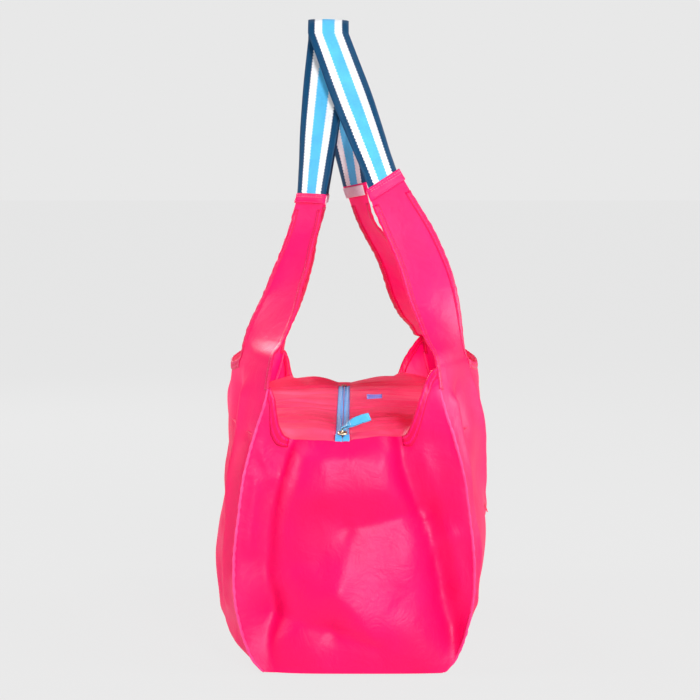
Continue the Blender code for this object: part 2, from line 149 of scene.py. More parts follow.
def panel_layout(arms, side):
    """Points, cloth coordinates, faces and the index of each (row, column) of one panel."""
    base_width = (1 - NECK_SHARE) * HALF_LENGTH
    from_end = across_steps(base_width, ARM_COLUMNS)
    arm_shares = 1 - (1 - NECK_SHARE) * from_end
    neck_shares = np.linspace(NECK_SHARE, -NECK_SHARE, NECK_COLUMNS + 1)[1:-1]
    shares = -np.concatenate([arm_shares, neck_shares, -arm_shares[::-1]])
    columns = len(shares)
    top = np.where(np.abs(shares) > NECK_SHARE - 1e-6, NECK_CORNER, NECK_MIDDLE
                   + (NECK_CORNER - NECK_MIDDLE) * (np.abs(shares) / NECK_SHARE) ** 4)
    points, cloth, index = [], [], {}
    for r in range(PANEL_ROWS + 1):
        for c, share in enumerate(shares):
            last = top[c] - HEM
            z = top[c] if r == PANEL_ROWS else PANEL_FOOT + (last - PANEL_FOOT) * r / (PANEL_ROWS - 1)
            x = share * half_length(z)
            if abs(share) <= NECK_SHARE + 1e-6:
                x *= 1 - 0.035 * smoothstep(240, 265, z)
            index[r, c] = len(points)
            points.append((x, side * half_width(share, z), z))
            cloth.append((share * HALF_LENGTH, z))
    for end, first, arm in ((-1, 0, arms[1]), (1, columns - 1, arms[0])):
        stations = [(k / (len(arm) - 1), np.ravel(pair)) for k, pair in enumerate(arm)]
        for r in range(1, ARM_ROWS + 1):
            t = r / ARM_ROWS
            pair = along(stations, t)
            neck, outer = pair[:3], pair[3:]
            steps = across_steps(np.linalg.norm(neck - outer), ARM_COLUMNS)
            for k, s in enumerate(steps):
                point = outer + (neck - outer) * s
                point[1] += side * 3.2 * 4 * s * (1 - s) * (1 - t)
                point[0] *= end
                index[PANEL_ROWS + r, first - end * k] = len(points)
                points.append(tuple(point))
                cloth.append((end * (HALF_LENGTH - base_width * s), NECK_CORNER + 165 * t))
    faces = []
    for (r, c), a in index.items():
        ring = [a, index.get((r, c + 1)), index.get((r + 1, c + 1)), index.get((r + 1, c))]
        both_arms = r >= PANEL_ROWS and c < columns / 2 <= c + 1
        if None not in ring and not both_arms:
            faces.append(ring if side < 0 else ring[::-1])
    return np.array(points), np.array(cloth), faces, index, columns


def cloth_object(name, points, cloth, faces):
    mesh = bpy.data.meshes.new(name)
    mesh.from_pydata([tuple(p) for p in points * MM], [], [tuple(int(v) for v in f) for f in faces])
    layer = mesh.uv_layers.new(name="cloth")
    corners = np.array([loop.vertex_index for loop in mesh.loops])
    layer.data.foreach_set("uv", (cloth[corners] * MM).astype(np.float32).ravel())
    for face in mesh.polygons:
        face.use_smooth = True
    made = bpy.data.objects.new(name, mesh)
    bpy.context.scene.collection.objects.link(made)
    return made


def relax(points, faces, pins, spare, frames, cap, swell=0.0):
    """Lets loose nylon find its own folds: the cut is larger than its place by spare on each axis."""
    sim = cloth_object("relaxing", points, points[:, :2], faces)
    sim.shape_key_add(name="place")
    cut = sim.shape_key_add(name="cut")
    middle = points.mean(axis=0)
    cut_points = middle + (points - middle) * (1 + np.array(spare))
    cut.data.foreach_set("co", (cut_points * MM).astype(np.float32).ravel())
    cut.value = 0
    group = sim.vertex_groups.new(name="held")
    for k, weight in enumerate(pins):
        if weight > 0:
            group.add([k], float(weight), "REPLACE")
    change = sim.modifiers.new("cloth", "CLOTH")
    settings = change.settings
    settings.quality = 6
    settings.mass = 0.08
    settings.tension_stiffness = settings.compression_stiffness = 18
    settings.shear_stiffness = 6
    settings.bending_stiffness = 0.25
    settings.tension_damping = settings.compression_damping = settings.shear_damping = 12
    settings.air_damping = 6
    settings.vertex_group_mass = "held"
    settings.rest_shape_key = cut
    settings.effector_weights.gravity = 0
    if swell:
        settings.use_pressure = True
        settings.uniform_pressure_force = swell
    change.point_cache.frame_start, change.point_cache.frame_end = 1, frames
    change.collision_settings.use_collision = False
    for number in range(1, frames + 1):
        bpy.context.scene.frame_set(number)
    posed = sim.evaluated_get(bpy.context.evaluated_depsgraph_get()).to_mesh()
    found = np.empty(len(posed.vertices) * 3, np.float32)
    posed.vertices.foreach_get("co", found)
    moved = found.reshape(-1, 3).astype(float) / MM - points
    bpy.context.scene.frame_set(1)
    data = sim.data
    bpy.data.objects.remove(sim, do_unlink=True)
    bpy.data.meshes.remove(data)
    size = np.linalg.norm(moved, axis=1, keepdims=True)
    return points + moved * np.minimum(1, cap / np.maximum(size, 1e-9))


def refined(obj, levels=1):
    """One subdivision, applied."""
    change = obj.modifiers.new("finer", "SUBSURF")
    change.levels = change.render_levels = levels
    graph = bpy.context.evaluated_depsgraph_get()
    mesh = bpy.data.meshes.new_from_object(obj.evaluated_get(graph))
    obj.modifiers.clear()
    obj.data = mesh
    for face in mesh.polygons:
        face.use_smooth = True
    return obj


def shader_maker(name):
    made = bpy.data.materials.new(name)
    made.use_nodes = True
    tree = made.node_tree
    tree.nodes.clear()

    def node(kind, **settings):
        new = tree.nodes.new(kind)
        for key, value in settings.items():
            if key in new.inputs:
                new.inputs[key].default_value = value
            else:
                setattr(new, key, value)
        return new

    def link(out, into):
        tree.links.new(out, into)
    return made, node, link


def nylon(name, deep, lit, glow=0.32, roughness=0.45, crinkle=0.4):
    """Thin woven nylon: glossy, crinkled, and lit through from behind."""
    made, node, link = shader_maker(name)
    place = node("ShaderNodeTexCoord")
    clouds = node("ShaderNodeTexNoise", Scale=9.0, Detail=4.0, Roughness=0.55)
    creases = node("ShaderNodeTexNoise", Scale=42.0, Detail=5.0, Roughness=0.6, Distortion=0.8)
    fine = node("ShaderNodeTexNoise", Scale=210.0, Detail=3.0)
    for texture in (clouds, creases, fine):
        link(place.outputs["Object"], texture.inputs["Vector"])
    warp = node("ShaderNodeTexWave", Scale=330.0, Distortion=0.4, bands_direction="X")
    weft = node("ShaderNodeTexWave", Scale=330.0, Distortion=0.4, bands_direction="Y")
    for wave in (warp, weft):
        link(place.outputs["UV"], wave.inputs["Vector"])
    weave = node("ShaderNodeMath", operation="MULTIPLY")
    link(warp.outputs["Fac"], weave.inputs[0])
    link(weft.outputs["Fac"], weave.inputs[1])
    tone = node("ShaderNodeMix", data_type="RGBA")
    spread = node("ShaderNodeMapRange")
    spread.inputs["From Min"].default_value = 0.35
    spread.inputs["From Max"].default_value = 0.7
    link(clouds.outputs["Fac"], spread.inputs["Value"])
    link(spread.outputs["Result"], tone.inputs["Factor"])
    tone.inputs["A"].default_value = (*deep, 1)
    tone.inputs["B"].default_value = (*lit, 1)
    crease_bump = node("ShaderNodeBump", Strength=0.55 * crinkle, Distance=0.004)
    fine_bump = node("ShaderNodeBump", Strength=0.22, Distance=0.0006)
    weave_bump = node("ShaderNodeBump", Strength=0.18, Distance=0.0002)
    link(creases.outputs["Fac"], crease_bump.inputs["Height"])
    link(fine.outputs["Fac"], fine_bump.inputs["Height"])
    link(weave.outputs["Value"], weave_bump.inputs["Height"])
    link(crease_bump.outputs["Normal"], fine_bump.inputs["Normal"])
    link(fine_bump.outputs["Normal"], weave_bump.inputs["Normal"])
    surface = node("ShaderNodeBsdfPrincipled", Roughness=roughness)
    surface.inputs["Sheen Weight"].default_value = 0.03
    surface.inputs["Sheen Roughness"].default_value = 0.35
    surface.inputs["Sheen Tint"].default_value = (1.0, 0.45, 0.65, 1)
    surface.inputs["Specular IOR Level"].default_value = 0.6
    surface.inputs["Specular Tint"].default_value = (1.0, 0.50, 0.72, 1)
    through = node("ShaderNodeBsdfTranslucent")
    both = node("ShaderNodeMixShader", Fac=glow)
    end = node("ShaderNodeOutputMaterial")
    link(tone.outputs["Result"], surface.inputs["Base Color"])
    link(tone.outputs["Result"], through.inputs["Color"])
    link(weave_bump.outputs["Normal"], surface.inputs["Normal"])
    link(crease_bump.outputs["Normal"], through.inputs["Normal"])
    link(surface.outputs["BSDF"], both.inputs[1])
    link(through.outputs["BSDF"], both.inputs[2])
    link(both.outputs["Shader"], end.inputs["Surface"])
    return made


PINK_DEEP, PINK_LIT = (0.90, 0.0, 0.125), (0.95, 0.0, 0.165)
panel_nylon = nylon("pink_nylon", PINK_DEEP, PINK_LIT)
panels = {}
# Folds: they hang from the feet of the arms, run in from the bottom corners and cross the belly.
PANEL_FOLDS = {
    "front": ((150, 250, 165, 60, 6, 11), (118, 262, 92, 120, -5, 13), (-150, 252, -172, 40, -5, 12),
              (-120, 262, -78, 100, 5, 12), (60, 190, -40, 60, -4, 18), (-20, 225, -60, 120, 3.5, 14),
              (185, 22, 60, 70, 5, 14), (-186, 20, -70, 62, -5, 15), (20, 120, 120, 40, 4, 15),
              (176, 200, 186, 90, -5, 8), (-178, 190, -184, 80, 4, 8), (0, 20, 30, 60, -3, 14)),
    "back": ((152, 250, 170, 70, -5, 10), (176, 235, 188, 60, 5, 7), (112, 262, 70, 130, 5, 13),
             (-152, 250, -168, 50, 6, 12), (-116, 262, -100, 110, -5, 12), (30, 200, 90, 60, -4, 17),
             (-30, 220, 20, 120, 3.5, 14), (186, 20, 70, 66, -5, 15), (-184, 24, -60, 74, 5, 14),
             (-20, 110, -120, 40, -4, 15), (-176, 200, -185, 90, 5, 8), (10, 25, -40, 70, 3, 14))}
for word, side, arms in (("front", -1, (FRONT_ARM, FRONT_ARM)), ("back", 1, (BACK_ARM, BACK_LEFT_ARM))):
    points, cloth, faces, index, columns = panel_layout(arms, side)
    below_rim = smoothstep(262, 235, points[:, 2]) * smoothstep(0, 30, points[:, 2])
    below_rim *= smoothstep(HALF_LENGTH, HALF_LENGTH - 14, np.abs(points[:, 0]))
    swell = 2.2 * smooth_noise(points, 80, 5 + side)
    swell += 1.6 * creases(points[:, 0], points[:, 2], PANEL_FOLDS[word])
    swell *= side * below_rim
    on_arm = smoothstep(262, 300, points[:, 2])
    swell += side * on_arm * 0.9 * smooth_noise(points, 60, 15 + side)
    pins = np.zeros(len(points))
    for (r, c), k in index.items():
        on_end = c in (0, columns - 1)
        if r == 0 or r >= PANEL_ROWS + ARM_ROWS - 1 or (on_end and points[k][2] < SEAM_TOP):
            pins[k] = 1
        elif on_end:
            pins[k] = 0.6
        elif r >= PANEL_ROWS - 1 and (r + 1, c) not in index:
            pins[k] = 0.35
        elif r > PANEL_ROWS and ((r, c + 1) not in index or (r, c - 1) not in index):
            pins[k] = 0.5
    points[:, 1] += swell * (pins < 1)
    points = relax(points, faces, pins, (0.035, 0.0, 0.015), 36, 9.0)
    panel = cloth_object(f"{word}_side", points, cloth, faces)
    panels[word] = (points, index, columns)
    refined(panel)
    panel.data.materials.append(panel_nylon)
    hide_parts(f"{word}_panel", f"{word}_right_arm", f"{word}_left_arm")
    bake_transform(panel)


# ---- Hems of the panels ---------------------------------------------------------------------------
# Every free edge is folded twice and closed with two rows of thread, which pull the fold into small
# even puckers. The neckline's hem is one fold, and each arm has one down each edge.
HEM_HALF_THICK = 0.95


def hem_nylon(name, colour, thread):
    """Folded nylon with two rows of stitches; the cloth coordinates run across and along the fold."""
    made, node, link = shader_maker(name)
    place = node("ShaderNodeTexCoord")
    split = node("ShaderNodeSeparateXYZ")
    link(place.outputs["UV"], split.inputs["Vector"])
    rows = node("ShaderNodeMath", operation="PINGPONG")
    rows.inputs[1].default_value = 0.5
    link(split.outputs["X"], rows.inputs[0])
    near_row = node("ShaderNodeMath", operation="COMPARE")
    near_row.inputs[1].default_value = 0.27
    near_row.inputs[2].default_value = 0.075
    link(rows.outputs["Value"], near_row.inputs[0])
    beat = node("ShaderNodeMath", operation="FRACT")
    scale = node("ShaderNodeMath", operation="MULTIPLY")
    scale.inputs[1].default_value = 330.0
    link(split.outputs["Y"], scale.inputs[0])
    link(scale.outputs["Value"], beat.inputs[0])
    dash = node("ShaderNodeMath", operation="LESS_THAN")
    dash.inputs[1].default_value = 0.7
    link(beat.outputs["Value"], dash.inputs[0])
    stitch = node("ShaderNodeMath", operation="MULTIPLY")
    link(near_row.outputs["Value"], stitch.inputs[0])
    link(dash.outputs["Value"], stitch.inputs[1])
    tone = node("ShaderNodeMix", data_type="RGBA")
    tone.inputs["A"].default_value = (*colour, 1)
    tone.inputs["B"].default_value = (*thread, 1)
    link(stitch.outputs["Value"], tone.inputs["Factor"])
    pucker = node("ShaderNodeTexNoise", Scale=260.0, Detail=2.0)
    link(place.outputs["Object"], pucker.inputs["Vector"])
    fold = node("ShaderNodeBump", Strength=0.35, Distance=0.0008)
    link(pucker.outputs["Fac"], fold.inputs["Height"])
    pull = node("ShaderNodeBump", Strength=0.6, Distance=0.0004, invert=True)
    link(near_row.outputs["Value"], pull.inputs["Height"])
    link(fold.outputs["Normal"], pull.inputs["Normal"])
    surface = node("ShaderNodeBsdfPrincipled", Roughness=0.45)
    surface.inputs["Sheen Weight"].default_value = 0.03
    surface.inputs["Specular Tint"].default_value = (1.0, 0.50, 0.72, 1)
    through = node("ShaderNodeBsdfTranslucent")
    both = node("ShaderNodeMixShader", Fac=0.18)
    end = node("ShaderNodeOutputMaterial")
    link(tone.outputs["Result"], surface.inputs["Base Color"])
    link(tone.outputs["Result"], through.inputs["Color"])
    link(pull.outputs["Normal"], surface.inputs["Normal"])
    link(surface.outputs["BSDF"], both.inputs[1])
    link(through.outputs["BSDF"], both.inputs[2])
    link(both.outputs["Shader"], end.inputs["Surface"])
    return made


def resampled(points, step):
    """The line through the points, at even steps, and the distance along it."""
    points = np.asarray(points, float)
    run = np.concatenate([[0], np.cumsum(np.linalg.norm(np.diff(points[:, :3], axis=0), axis=1))])
    count = max(2, int(run[-1] / step) + 1)
    at = np.linspace(0, run[-1], count)
    return np.stack([np.interp(at, run, points[:, k]) for k in range(points.shape[1])], axis=1), at


def folded_edge(name, edge, inner, thick=HEM_HALF_THICK, step=2.4, ring=10):
    """A flattened roll of cloth between an edge line and a line one hem further in."""
    both, at = resampled(np.concatenate([edge, inner], axis=1), step)
    edge, inner = both[:, :3], both[:, 3:]
    forward = np.gradient(edge, axis=0)
    forward /= np.linalg.norm(forward, axis=1, keepdims=True)
    out = edge - inner
    width = np.linalg.norm(out, axis=1, keepdims=True)
    out = out / width
    normal = np.cross(forward, out)
    normal /= np.linalg.norm(normal, axis=1, keepdims=True)
    middle = (edge + inner) / 2
    pucker = 0.2 * np.sin(at * 2 * np.pi / 7.5) + 0.12 * np.sin(at * 2 * np.pi / 12.7 + 1)
    points, cloth, faces = [], [], []
    for k in range(len(edge)):
        taper = 0.35 + 0.65 * smoothstep(0, 5, min(at[k], at[-1] - at[k]))
        for j in range(ring):
            turn = 2 * np.pi * j / ring
            round_off = abs(np.sin(turn)) ** 0.6 * np.sign(np.sin(turn))
            ripple = 0.45 * np.sin(at[k] / 1.7) * np.sin(at[k] / 11.0 + 1)
            reach = width[k] / 2 + 0.4 + ripple * (np.cos(turn) > 0)
            points.append(middle[k] + out[k] * np.cos(turn) * reach
                          + normal[k] * (thick * taper * (1 + pucker[k]) * round_off + 0.25 * pucker[k]))
            cloth.append((1000 * (0.5 - 0.5 * np.cos(turn)), at[k]))
    for k in range(len(edge) - 1):
        for j in range(ring):
            n = (j + 1) % ring
            faces.append((k * ring + j, (k + 1) * ring + j, (k + 1) * ring + n, k * ring + n))
    faces.append(tuple(range(ring)))
    faces.append(tuple(len(points) - 1 - j for j in range(ring)))
    return cloth_object(name, np.array(points), np.array(cloth), faces)


hem_fabric = hem_nylon("hem_nylon", (0.82, 0.0, 0.085), (0.95, 0.006, 0.20))
for word in ("front", "back"):
    points, index, columns = panels[word]
    first, last = ARM_COLUMNS, columns - 1 - ARM_COLUMNS
    neck = [index[PANEL_ROWS, c] for c in range(first, last + 1)]
    below = [index[PANEL_ROWS - 1, c] for c in range(first, last + 1)]
    hem = folded_edge(f"{word}_neckline", points[neck], points[below])
    hem.data.materials.append(hem_fabric)
    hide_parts(f"{word}_neck_hem")
    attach(hem, "bag_body")
    for end, edge_column, inner_column in ((-1, first, first - 1), (1, last, last + 1),
                                           (-1, 0, 1), (1, columns - 1, columns - 2)):
        outer_edge = edge_column in (0, columns - 1)
        low = PANEL_ROWS - (3 if outer_edge else 1)
        rows = range(low, PANEL_ROWS + ARM_ROWS - 1)
        edge = points[[index[r, edge_column] for r in rows]]
        inner = points[[index[r, inner_column] for r in rows]]
        place = "right" if end > 0 else "left"
        which = "end" if outer_edge else "neck"
        hem = folded_edge(f"{word}_{place}_arm_{which}_hem", edge, inner)
        hem.data.materials.append(hem_fabric)
        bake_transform(hem)


# ---- End gussets ----------------------------------------------------------------------------------
# Each end is one piece of the same nylon, sewn between the panels. Its middle stands out as a flat
# facet and folds in along two creases, where the bag closes up when it is put away.
END_BULGE = ((0, 4), (20, 9), (45, 12), (80, 8.5), (120, 5), (138, 6), (162, 10.5), (185, 7.5),
             (205, 2), (275, 0))
# The neckline over a gusset, as (share of the half width, height), on its front and its back slope.
RIM_FRONT = ((-0.98, 250), (-0.90, 240), (-0.83, 226), (-0.76, 214), (-0.68, 206), (-0.60, 203.5))
RIM_BACK = ((0.47, 204.5), (0.53, 208), (0.64, 224), (0.75, 241), (0.86, 256), (0.95, 264), (1.0, 266))
GUSSET_FOLDS = {
    "right": ((66, 141, -4, 128, -9, 15), (-70, 52, -18, 38, -6, 13), (-22, 39, 20, 24, -7, 11),
              (2, 128, -14, 72, 5, 20), (-14, 74, 16, 34, 5, 15), (-46, 190, -60, 120, 3, 13),
              (-26, 188, -24, 156, 2.5, 14), (34, 186, 40, 158, 2.5, 12), (-30, 100, -66, 92, -3, 12),
              (84, 120, 93, 70, 4, 6),
              (-84, 170, -92, 110, 4, 6), (-80, 196, -72, 170, 3.5, 6), (60, 190, 82, 120, 3.5, 8),
              (40, 60, 84, 30, -3, 12), (-8, 206, 18, 192, -2.5, 5), (70, 100, 88, 40, -4, 9)),
    "left": ((-60, 150, 6, 118, -8, 16), (62, 60, 10, 42, -7, 14), (20, 190, 0, 100, 5, 20),
             (-20, 80, 22, 34, 5, 16), (46, 180, 62, 110, 3, 12), (-84, 120, -92, 60, 4, 6),
             (84, 170, 92, 110, -4, 7), (-60, 196, -80, 120, 3.5, 8), (-40, 62, -84, 30, -4, 12))}
CREASE_LEFT = ((0, 70), (30, 73), (55, 68), (86, 75), (112, 73), (144, 69), (161, 65), (200, 54), (250, 50))
CREASE_RIGHT = ((0, 92), (32, 86), (55, 78), (97, 71), (118, 65), (142, 56), (174, 43), (200, 38), (250, 36))
ROOF_HEIGHT, ROOF_FALL = 213.0, 0.0275
GUSSET_COLUMNS, GUSSET_ROWS = 50, 44


def roof_top(x):
    return ROOF_HEIGHT - ROOF_FALL * x


def grid_faces(rows, columns, turned=False):
    """The quads of a grid of points, listed row by row; turned makes them face the other way."""
    faces = []
    for r in range(rows - 1):
        for c in range(columns - 1):
            a = r * columns + c
            corners = (a, a + 1, a + columns + 1, a + columns)
            faces.append((corners[0], *corners[:0:-1]) if turned else corners)
    return faces


def gusset_layout(end, word):
    share = np.linspace(-1, 1, GUSSET_COLUMNS + 1)
    low = roof_top(end * HALF_LENGTH) - 1.0
    top = np.where(share < 0, along(RIM_FRONT, share), along(RIM_BACK, share))
    top += (low + 1.0 - roof_top(HALF_LENGTH)) * smoothstep(0.9, 0.6, np.abs(share))
    top += 2.5 * np.exp(-((share - 0.27) / 0.16) ** 2) - 1.2 * np.exp(-((share + 0.13) / 0.1) ** 2)
    slope = np.gradient(top, share * 76)
    hem = HEM * np.sqrt(1 + np.minimum(slope, 3) ** 2)
    points, cloth = [], []
    for r in range(GUSSET_ROWS + 1):
        for c, s in enumerate(share):
            z = top[c] if r == GUSSET_ROWS else (
                PANEL_FOOT + (top[c] - hem[c] - PANEL_FOOT) * r / (GUSSET_ROWS - 1))
            y = s * half_width(1.0, z)
            crease = along(CREASE_RIGHT if y * end > 0 else CREASE_LEFT, z)
            edge = half_width(1.0, z)
            depth = 9.0 * smoothstep(0, 50, z) * smoothstep(240, 190, z)
            if abs(y) < crease:
                t = abs(y) / crease
                stand = along(END_BULGE, z) * (1 - t ** 3.2) + 2.0 - (depth + 2.0) * t ** 6
            else:
                t = (abs(y) - crease) / max(edge - crease, 1)
                stand = -depth * (1 - t) ** 0.8
            shoulder = np.clip(1 - (top[c] - z) / 16, 0, 1) ** 2 * smoothstep(0.66, 0.5, abs(s))
            stand -= 6.5 * shoulder
            fade = smoothstep(1.0, 0.9, abs(s)) * smoothstep(0, 12, z) * smoothstep(low + 4, low - 14, z)
            stand += fade * float(creases(np.array(y * end), np.array(z), GUSSET_FOLDS[word]))
            points.append((end * (half_length(z) + stand), y, z))
            cloth.append((y, z))
    quads = grid_faces(GUSSET_ROWS + 1, GUSSET_COLUMNS + 1)
    return np.array(points), np.array(cloth), [quad if end > 0 else quad[::-1] for quad in quads]


gusset_nylon = nylon("gusset_nylon", PINK_DEEP, PINK_LIT, crinkle=0.5)
gussets = {}
for word, end in (("right", 1), ("left", -1)):
    points, cloth, faces = gusset_layout(end, word)
    row = np.arange(len(points)) // (GUSSET_COLUMNS + 1)
    column = np.arange(len(points)) % (GUSSET_COLUMNS + 1)
    pins = np.zeros(len(points))
    pins[(row == 0) | (column == 0) | (column == GUSSET_COLUMNS)] = 1
    pins[(row >= GUSSET_ROWS - 1) & (pins == 0)] = 0.7
    points[:, 0] += end * 1.0 * smooth_noise(points, 60, 21 + end) * (pins == 0)
    points = relax(points, faces, pins, (0.0, 0.045, 0.02), 36, 8.0)
    gusset = cloth_object(f"{word}_end", points, cloth, faces)
    grid = points.reshape(GUSSET_ROWS + 1, GUSSET_COLUMNS + 1, 3)
    gussets[word] = grid
    refined(gusset)
    gusset.data.materials.append(gusset_nylon)
    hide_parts(f"{word}_gusset")
    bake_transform(gusset)
    # the hem closes the two slopes of the neckline and stops where the roof is sewn on
    share = np.linspace(-1, 1, GUSSET_COLUMNS + 1)
    for part, reach in (("front", share < -0.60), ("back", share > 0.45)):
        hem = folded_edge(f"{word}_{part}_end_neckline", grid[-1][reach], grid[-2][reach])
        hem.data.materials.append(hem_fabric)
        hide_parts(f"{word}_neck_hem")
        if part == "front":
            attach(hem, "bag_body")
        else:
            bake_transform(hem)


# ---- Corner seams ---------------------------------------------------------------------------------
# Panels and gussets are joined right sides together and turned, so each seam stands up as a narrow
# rolled ridge that catches the light. Its paler pink than the panels is a painted highlight along the ridge.
seam_nylon_painted_highlight = nylon("seam_nylon_painted_highlight", (1.0, 0.02, 0.20), (1.0, 0.09, 0.32), glow=0.2, crinkle=0.3)
for end, end_word in ((1, "right"), (-1, "left")):
    for side, word in ((-1, "front"), (1, "back")):
        z = np.linspace(PANEL_FOOT, SEAM_TOP - 2, 90)
        wave = 0.5 * np.sin(z / 9.0 + end) + 0.3 * np.sin(z / 3.7 + side)
        y = side * (half_width(1.0, z) + 0.3 + 0.3 * wave)
        line = np.stack([end * (half_length(z) + 0.5), y, z], axis=1)
        inner = line - np.array((end * 2.2, side * 1.4, 0))
        seam = folded_edge(f"{word}_{end_word}_seam", line, inner, thick=1.0, ring=8)
        seam.data.materials.append(seam_nylon_painted_highlight)
        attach(seam, "bag_body")


# ---- Base -----------------------------------------------------------------------------------------
# A single oblong of the same nylon, seamed all round to the feet of the panels and gussets.
share, across = np.meshgrid(np.linspace(-1, 1, 65), np.linspace(-1, 1, 31))
base_x = share * (HALF_LENGTH + END_BULGE[0][1] * (1 - across ** 2))
base_y = across * half_width(share, np.zeros_like(share))
ripple = 0.5 * smooth_noise(np.stack([base_x, base_y, base_x * 0], axis=2).reshape(-1, 3), 70, 3)
lift = ripple.reshape(base_x.shape) * (1 - np.maximum(np.abs(share), np.abs(across)) ** 6)
base_points = np.stack([base_x, base_y, 0.9 + 0.45 * (lift + 0.6)], axis=2).reshape(-1, 3)
base_faces = [(r * 65 + c + 65, r * 65 + c + 66, r * 65 + c + 1, r * 65 + c)
              for r in range(30) for c in range(64)]
base = cloth_object("base", base_points, base_points[:, :2], base_faces)
base.data.materials.append(panel_nylon)
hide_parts("base_panel")
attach(base, "bag_body")


# ---- Roof -----------------------------------------------------------------------------------------
# Two strips of nylon close the bag below its rim. They are gathered a little on to the zip, and the
# gathers run across towards the long panels. Light comes through them from below and above, and
# their lighter salmon pink is that glow painted into the colour.
ZIP_Y, ZIP_RIGHT, ZIP_LEFT = -10.0, HALF_LENGTH - 4, 50 - HALF_LENGTH
ZIP_HALF = 6.4
ROOF_COLUMNS, ROOF_ROWS = 190, 22
# lighter and more salmon than the panels' pink: painted glow of light coming through the roof
roof_nylon = nylon("roof_nylon", (0.95, 0.05, 0.20), (1.0, 0.19, 0.34), glow=0.4, crinkle=0.4)


PUFF = ((-1.0, 7.0), (-0.9, 6.5), (-0.6, 0.5), (-0.35, -2.5), (-0.1, 0.5), (0.3, 3.0), (0.75, 4.5),
        (0.93, 4.0), (1.0, 1.0))


def gathers(x, seed):
    rng = np.random.default_rng(seed)
    total = np.zeros_like(x)
    for size in (9.0, 13.0, 19.0, 31.0):
        start = rng.uniform(0, 6.28)
        total += np.sin(x * 2 * np.pi / size + start + 0.8 * np.sin(x / 37.0 + rng.uniform(0, 6)))
    return total / 2.6


def gusset_face(word, y, z):
    """Where a gusset's cloth stands at each y, at the height of the roof."""
    grid = gussets[word]
    cut = [[np.interp(z, grid[:, c, 2], grid[:, c, k]) for k in (1, 0)] for c in range(grid.shape[1])]
    cut = np.array(sorted(cut))
    return np.interp(y, cut[:, 0], cut[:, 1])


def gusset_rim(word, y):
    return np.interp(y, gussets[word][-1, :, 1], gussets[word][-1, :, 2])


for word, side in (("front", -1), ("back", 1)):
    share, across = np.meshgrid(np.linspace(-1, 1, ROOF_COLUMNS + 1), np.linspace(0, 1, ROOF_ROWS + 1))
    zip_edge = ZIP_Y + side * (ZIP_HALF - 0.6)
    z = roof_top(share * HALF_LENGTH)
    wall = side * (half_width(share, z) - 0.8)
    y = zip_edge + (wall - zip_edge) * across
    ends = np.where(share > 0, gusset_face("right", y, roof_top(HALF_LENGTH)),
                    gusset_face("left", y, roof_top(-HALF_LENGTH)))
    x = np.abs(share) * ends * (1 - 0.7 / HALF_LENGTH)
    slant = x + (1 - across) * 6 * np.sin(x / 40 + side)
    soft = np.sin(np.pi * np.clip(across * 0.93 + 0.05, 0, 1)) ** 0.7
    folds = gathers(slant, 7 + side) * soft * (2.2 - 1.2 * across)
    end_fade = smoothstep(1.0, 0.95, np.abs(share))
    # it is puffed up along the right, sinks past the middle and rises again to the left end
    mound = np.sin(np.pi * np.clip(across * 1.04 - 0.02, 0, 1)) ** 0.8
    puff = mound * along(PUFF, share) * (1.0 if side > 0 else 0.85)
    flat_points = np.stack([x, y, 0 * x], axis=2).reshape(-1, 3)
    puff += 2.6 * mound * smooth_noise(flat_points, 75, 40 + side).reshape(x.shape)
    rim = np.where(share > 0, gusset_rim("right", y), gusset_rim("left", y))
    to_rim = smoothstep(0.90, 1.0, np.abs(share))
    z = roof_top(x) + 0.2 + folds * end_fade + puff
    z = z * (1 - to_rim) + to_rim * np.minimum(rim, roof_top(x) + 7 * mound)
    grid = np.stack([x, y, z], axis=2)
    cloth = np.stack([x, y], axis=2).reshape(-1, 2)
    faces = [quad if side > 0 else quad[::-1] for quad in grid_faces(ROOF_ROWS + 1, ROOF_COLUMNS + 1)]
    roof = cloth_object(f"{word}_roof_cloth", grid.reshape(-1, 3), cloth, faces)
    roof.data.materials.append(roof_nylon)
    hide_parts(f"{word}_roof")
    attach(roof, "bag_body")


# ---- Zip ------------------------------------------------------------------------------------------
# A nylon coil zip on two woven polyester tapes, stitched to the roof's inner edges. The coils are
# closed all along, with a brass stop at each end and a strip of nylon that fills the roof past it.
def woven_tape(name, colour, shade, roughness=0.6):
    """Fine herringbone weave; the cloth coordinates run along and across the tape."""
    made, node, link = shader_maker(name)
    place = node("ShaderNodeTexCoord")
    rib = node("ShaderNodeTexWave", Scale=190.0, Distortion=0.6, bands_direction="X")
    rib.inputs["Detail Scale"].default_value = 3.0
    cross = node("ShaderNodeTexWave", Scale=420.0, Distortion=0.3, bands_direction="Y")
    cloud = node("ShaderNodeTexNoise", Scale=60.0, Detail=4.0)
    for texture in (rib, cross):
        link(place.outputs["UV"], texture.inputs["Vector"])
    link(place.outputs["Object"], cloud.inputs["Vector"])
    tone = node("ShaderNodeMix", data_type="RGBA")
    tone.inputs["A"].default_value = (*shade, 1)
    tone.inputs["B"].default_value = (*colour, 1)
    mixed = node("ShaderNodeMath", operation="MULTIPLY_ADD")
    mixed.inputs[1].default_value = 0.45
    link(rib.outputs["Fac"], mixed.inputs[0])
    link(cloud.outputs["Fac"], mixed.inputs[2])
    link(mixed.outputs["Value"], tone.inputs["Factor"])
    ribs = node("ShaderNodeBump", Strength=0.35, Distance=0.0004)
    threads = node("ShaderNodeBump", Strength=0.2, Distance=0.0003)
    link(rib.outputs["Fac"], ribs.inputs["Height"])
    link(cross.outputs["Fac"], threads.inputs["Height"])
    link(ribs.outputs["Normal"], threads.inputs["Normal"])
    surface = node("ShaderNodeBsdfPrincipled", Roughness=roughness)
    surface.inputs["Sheen Weight"].default_value = 0.3
    end = node("ShaderNodeOutputMaterial")
    link(tone.outputs["Result"], surface.inputs["Base Color"])
    link(threads.outputs["Normal"], surface.inputs["Normal"])
    link(surface.outputs["BSDF"], end.inputs["Surface"])
    return made


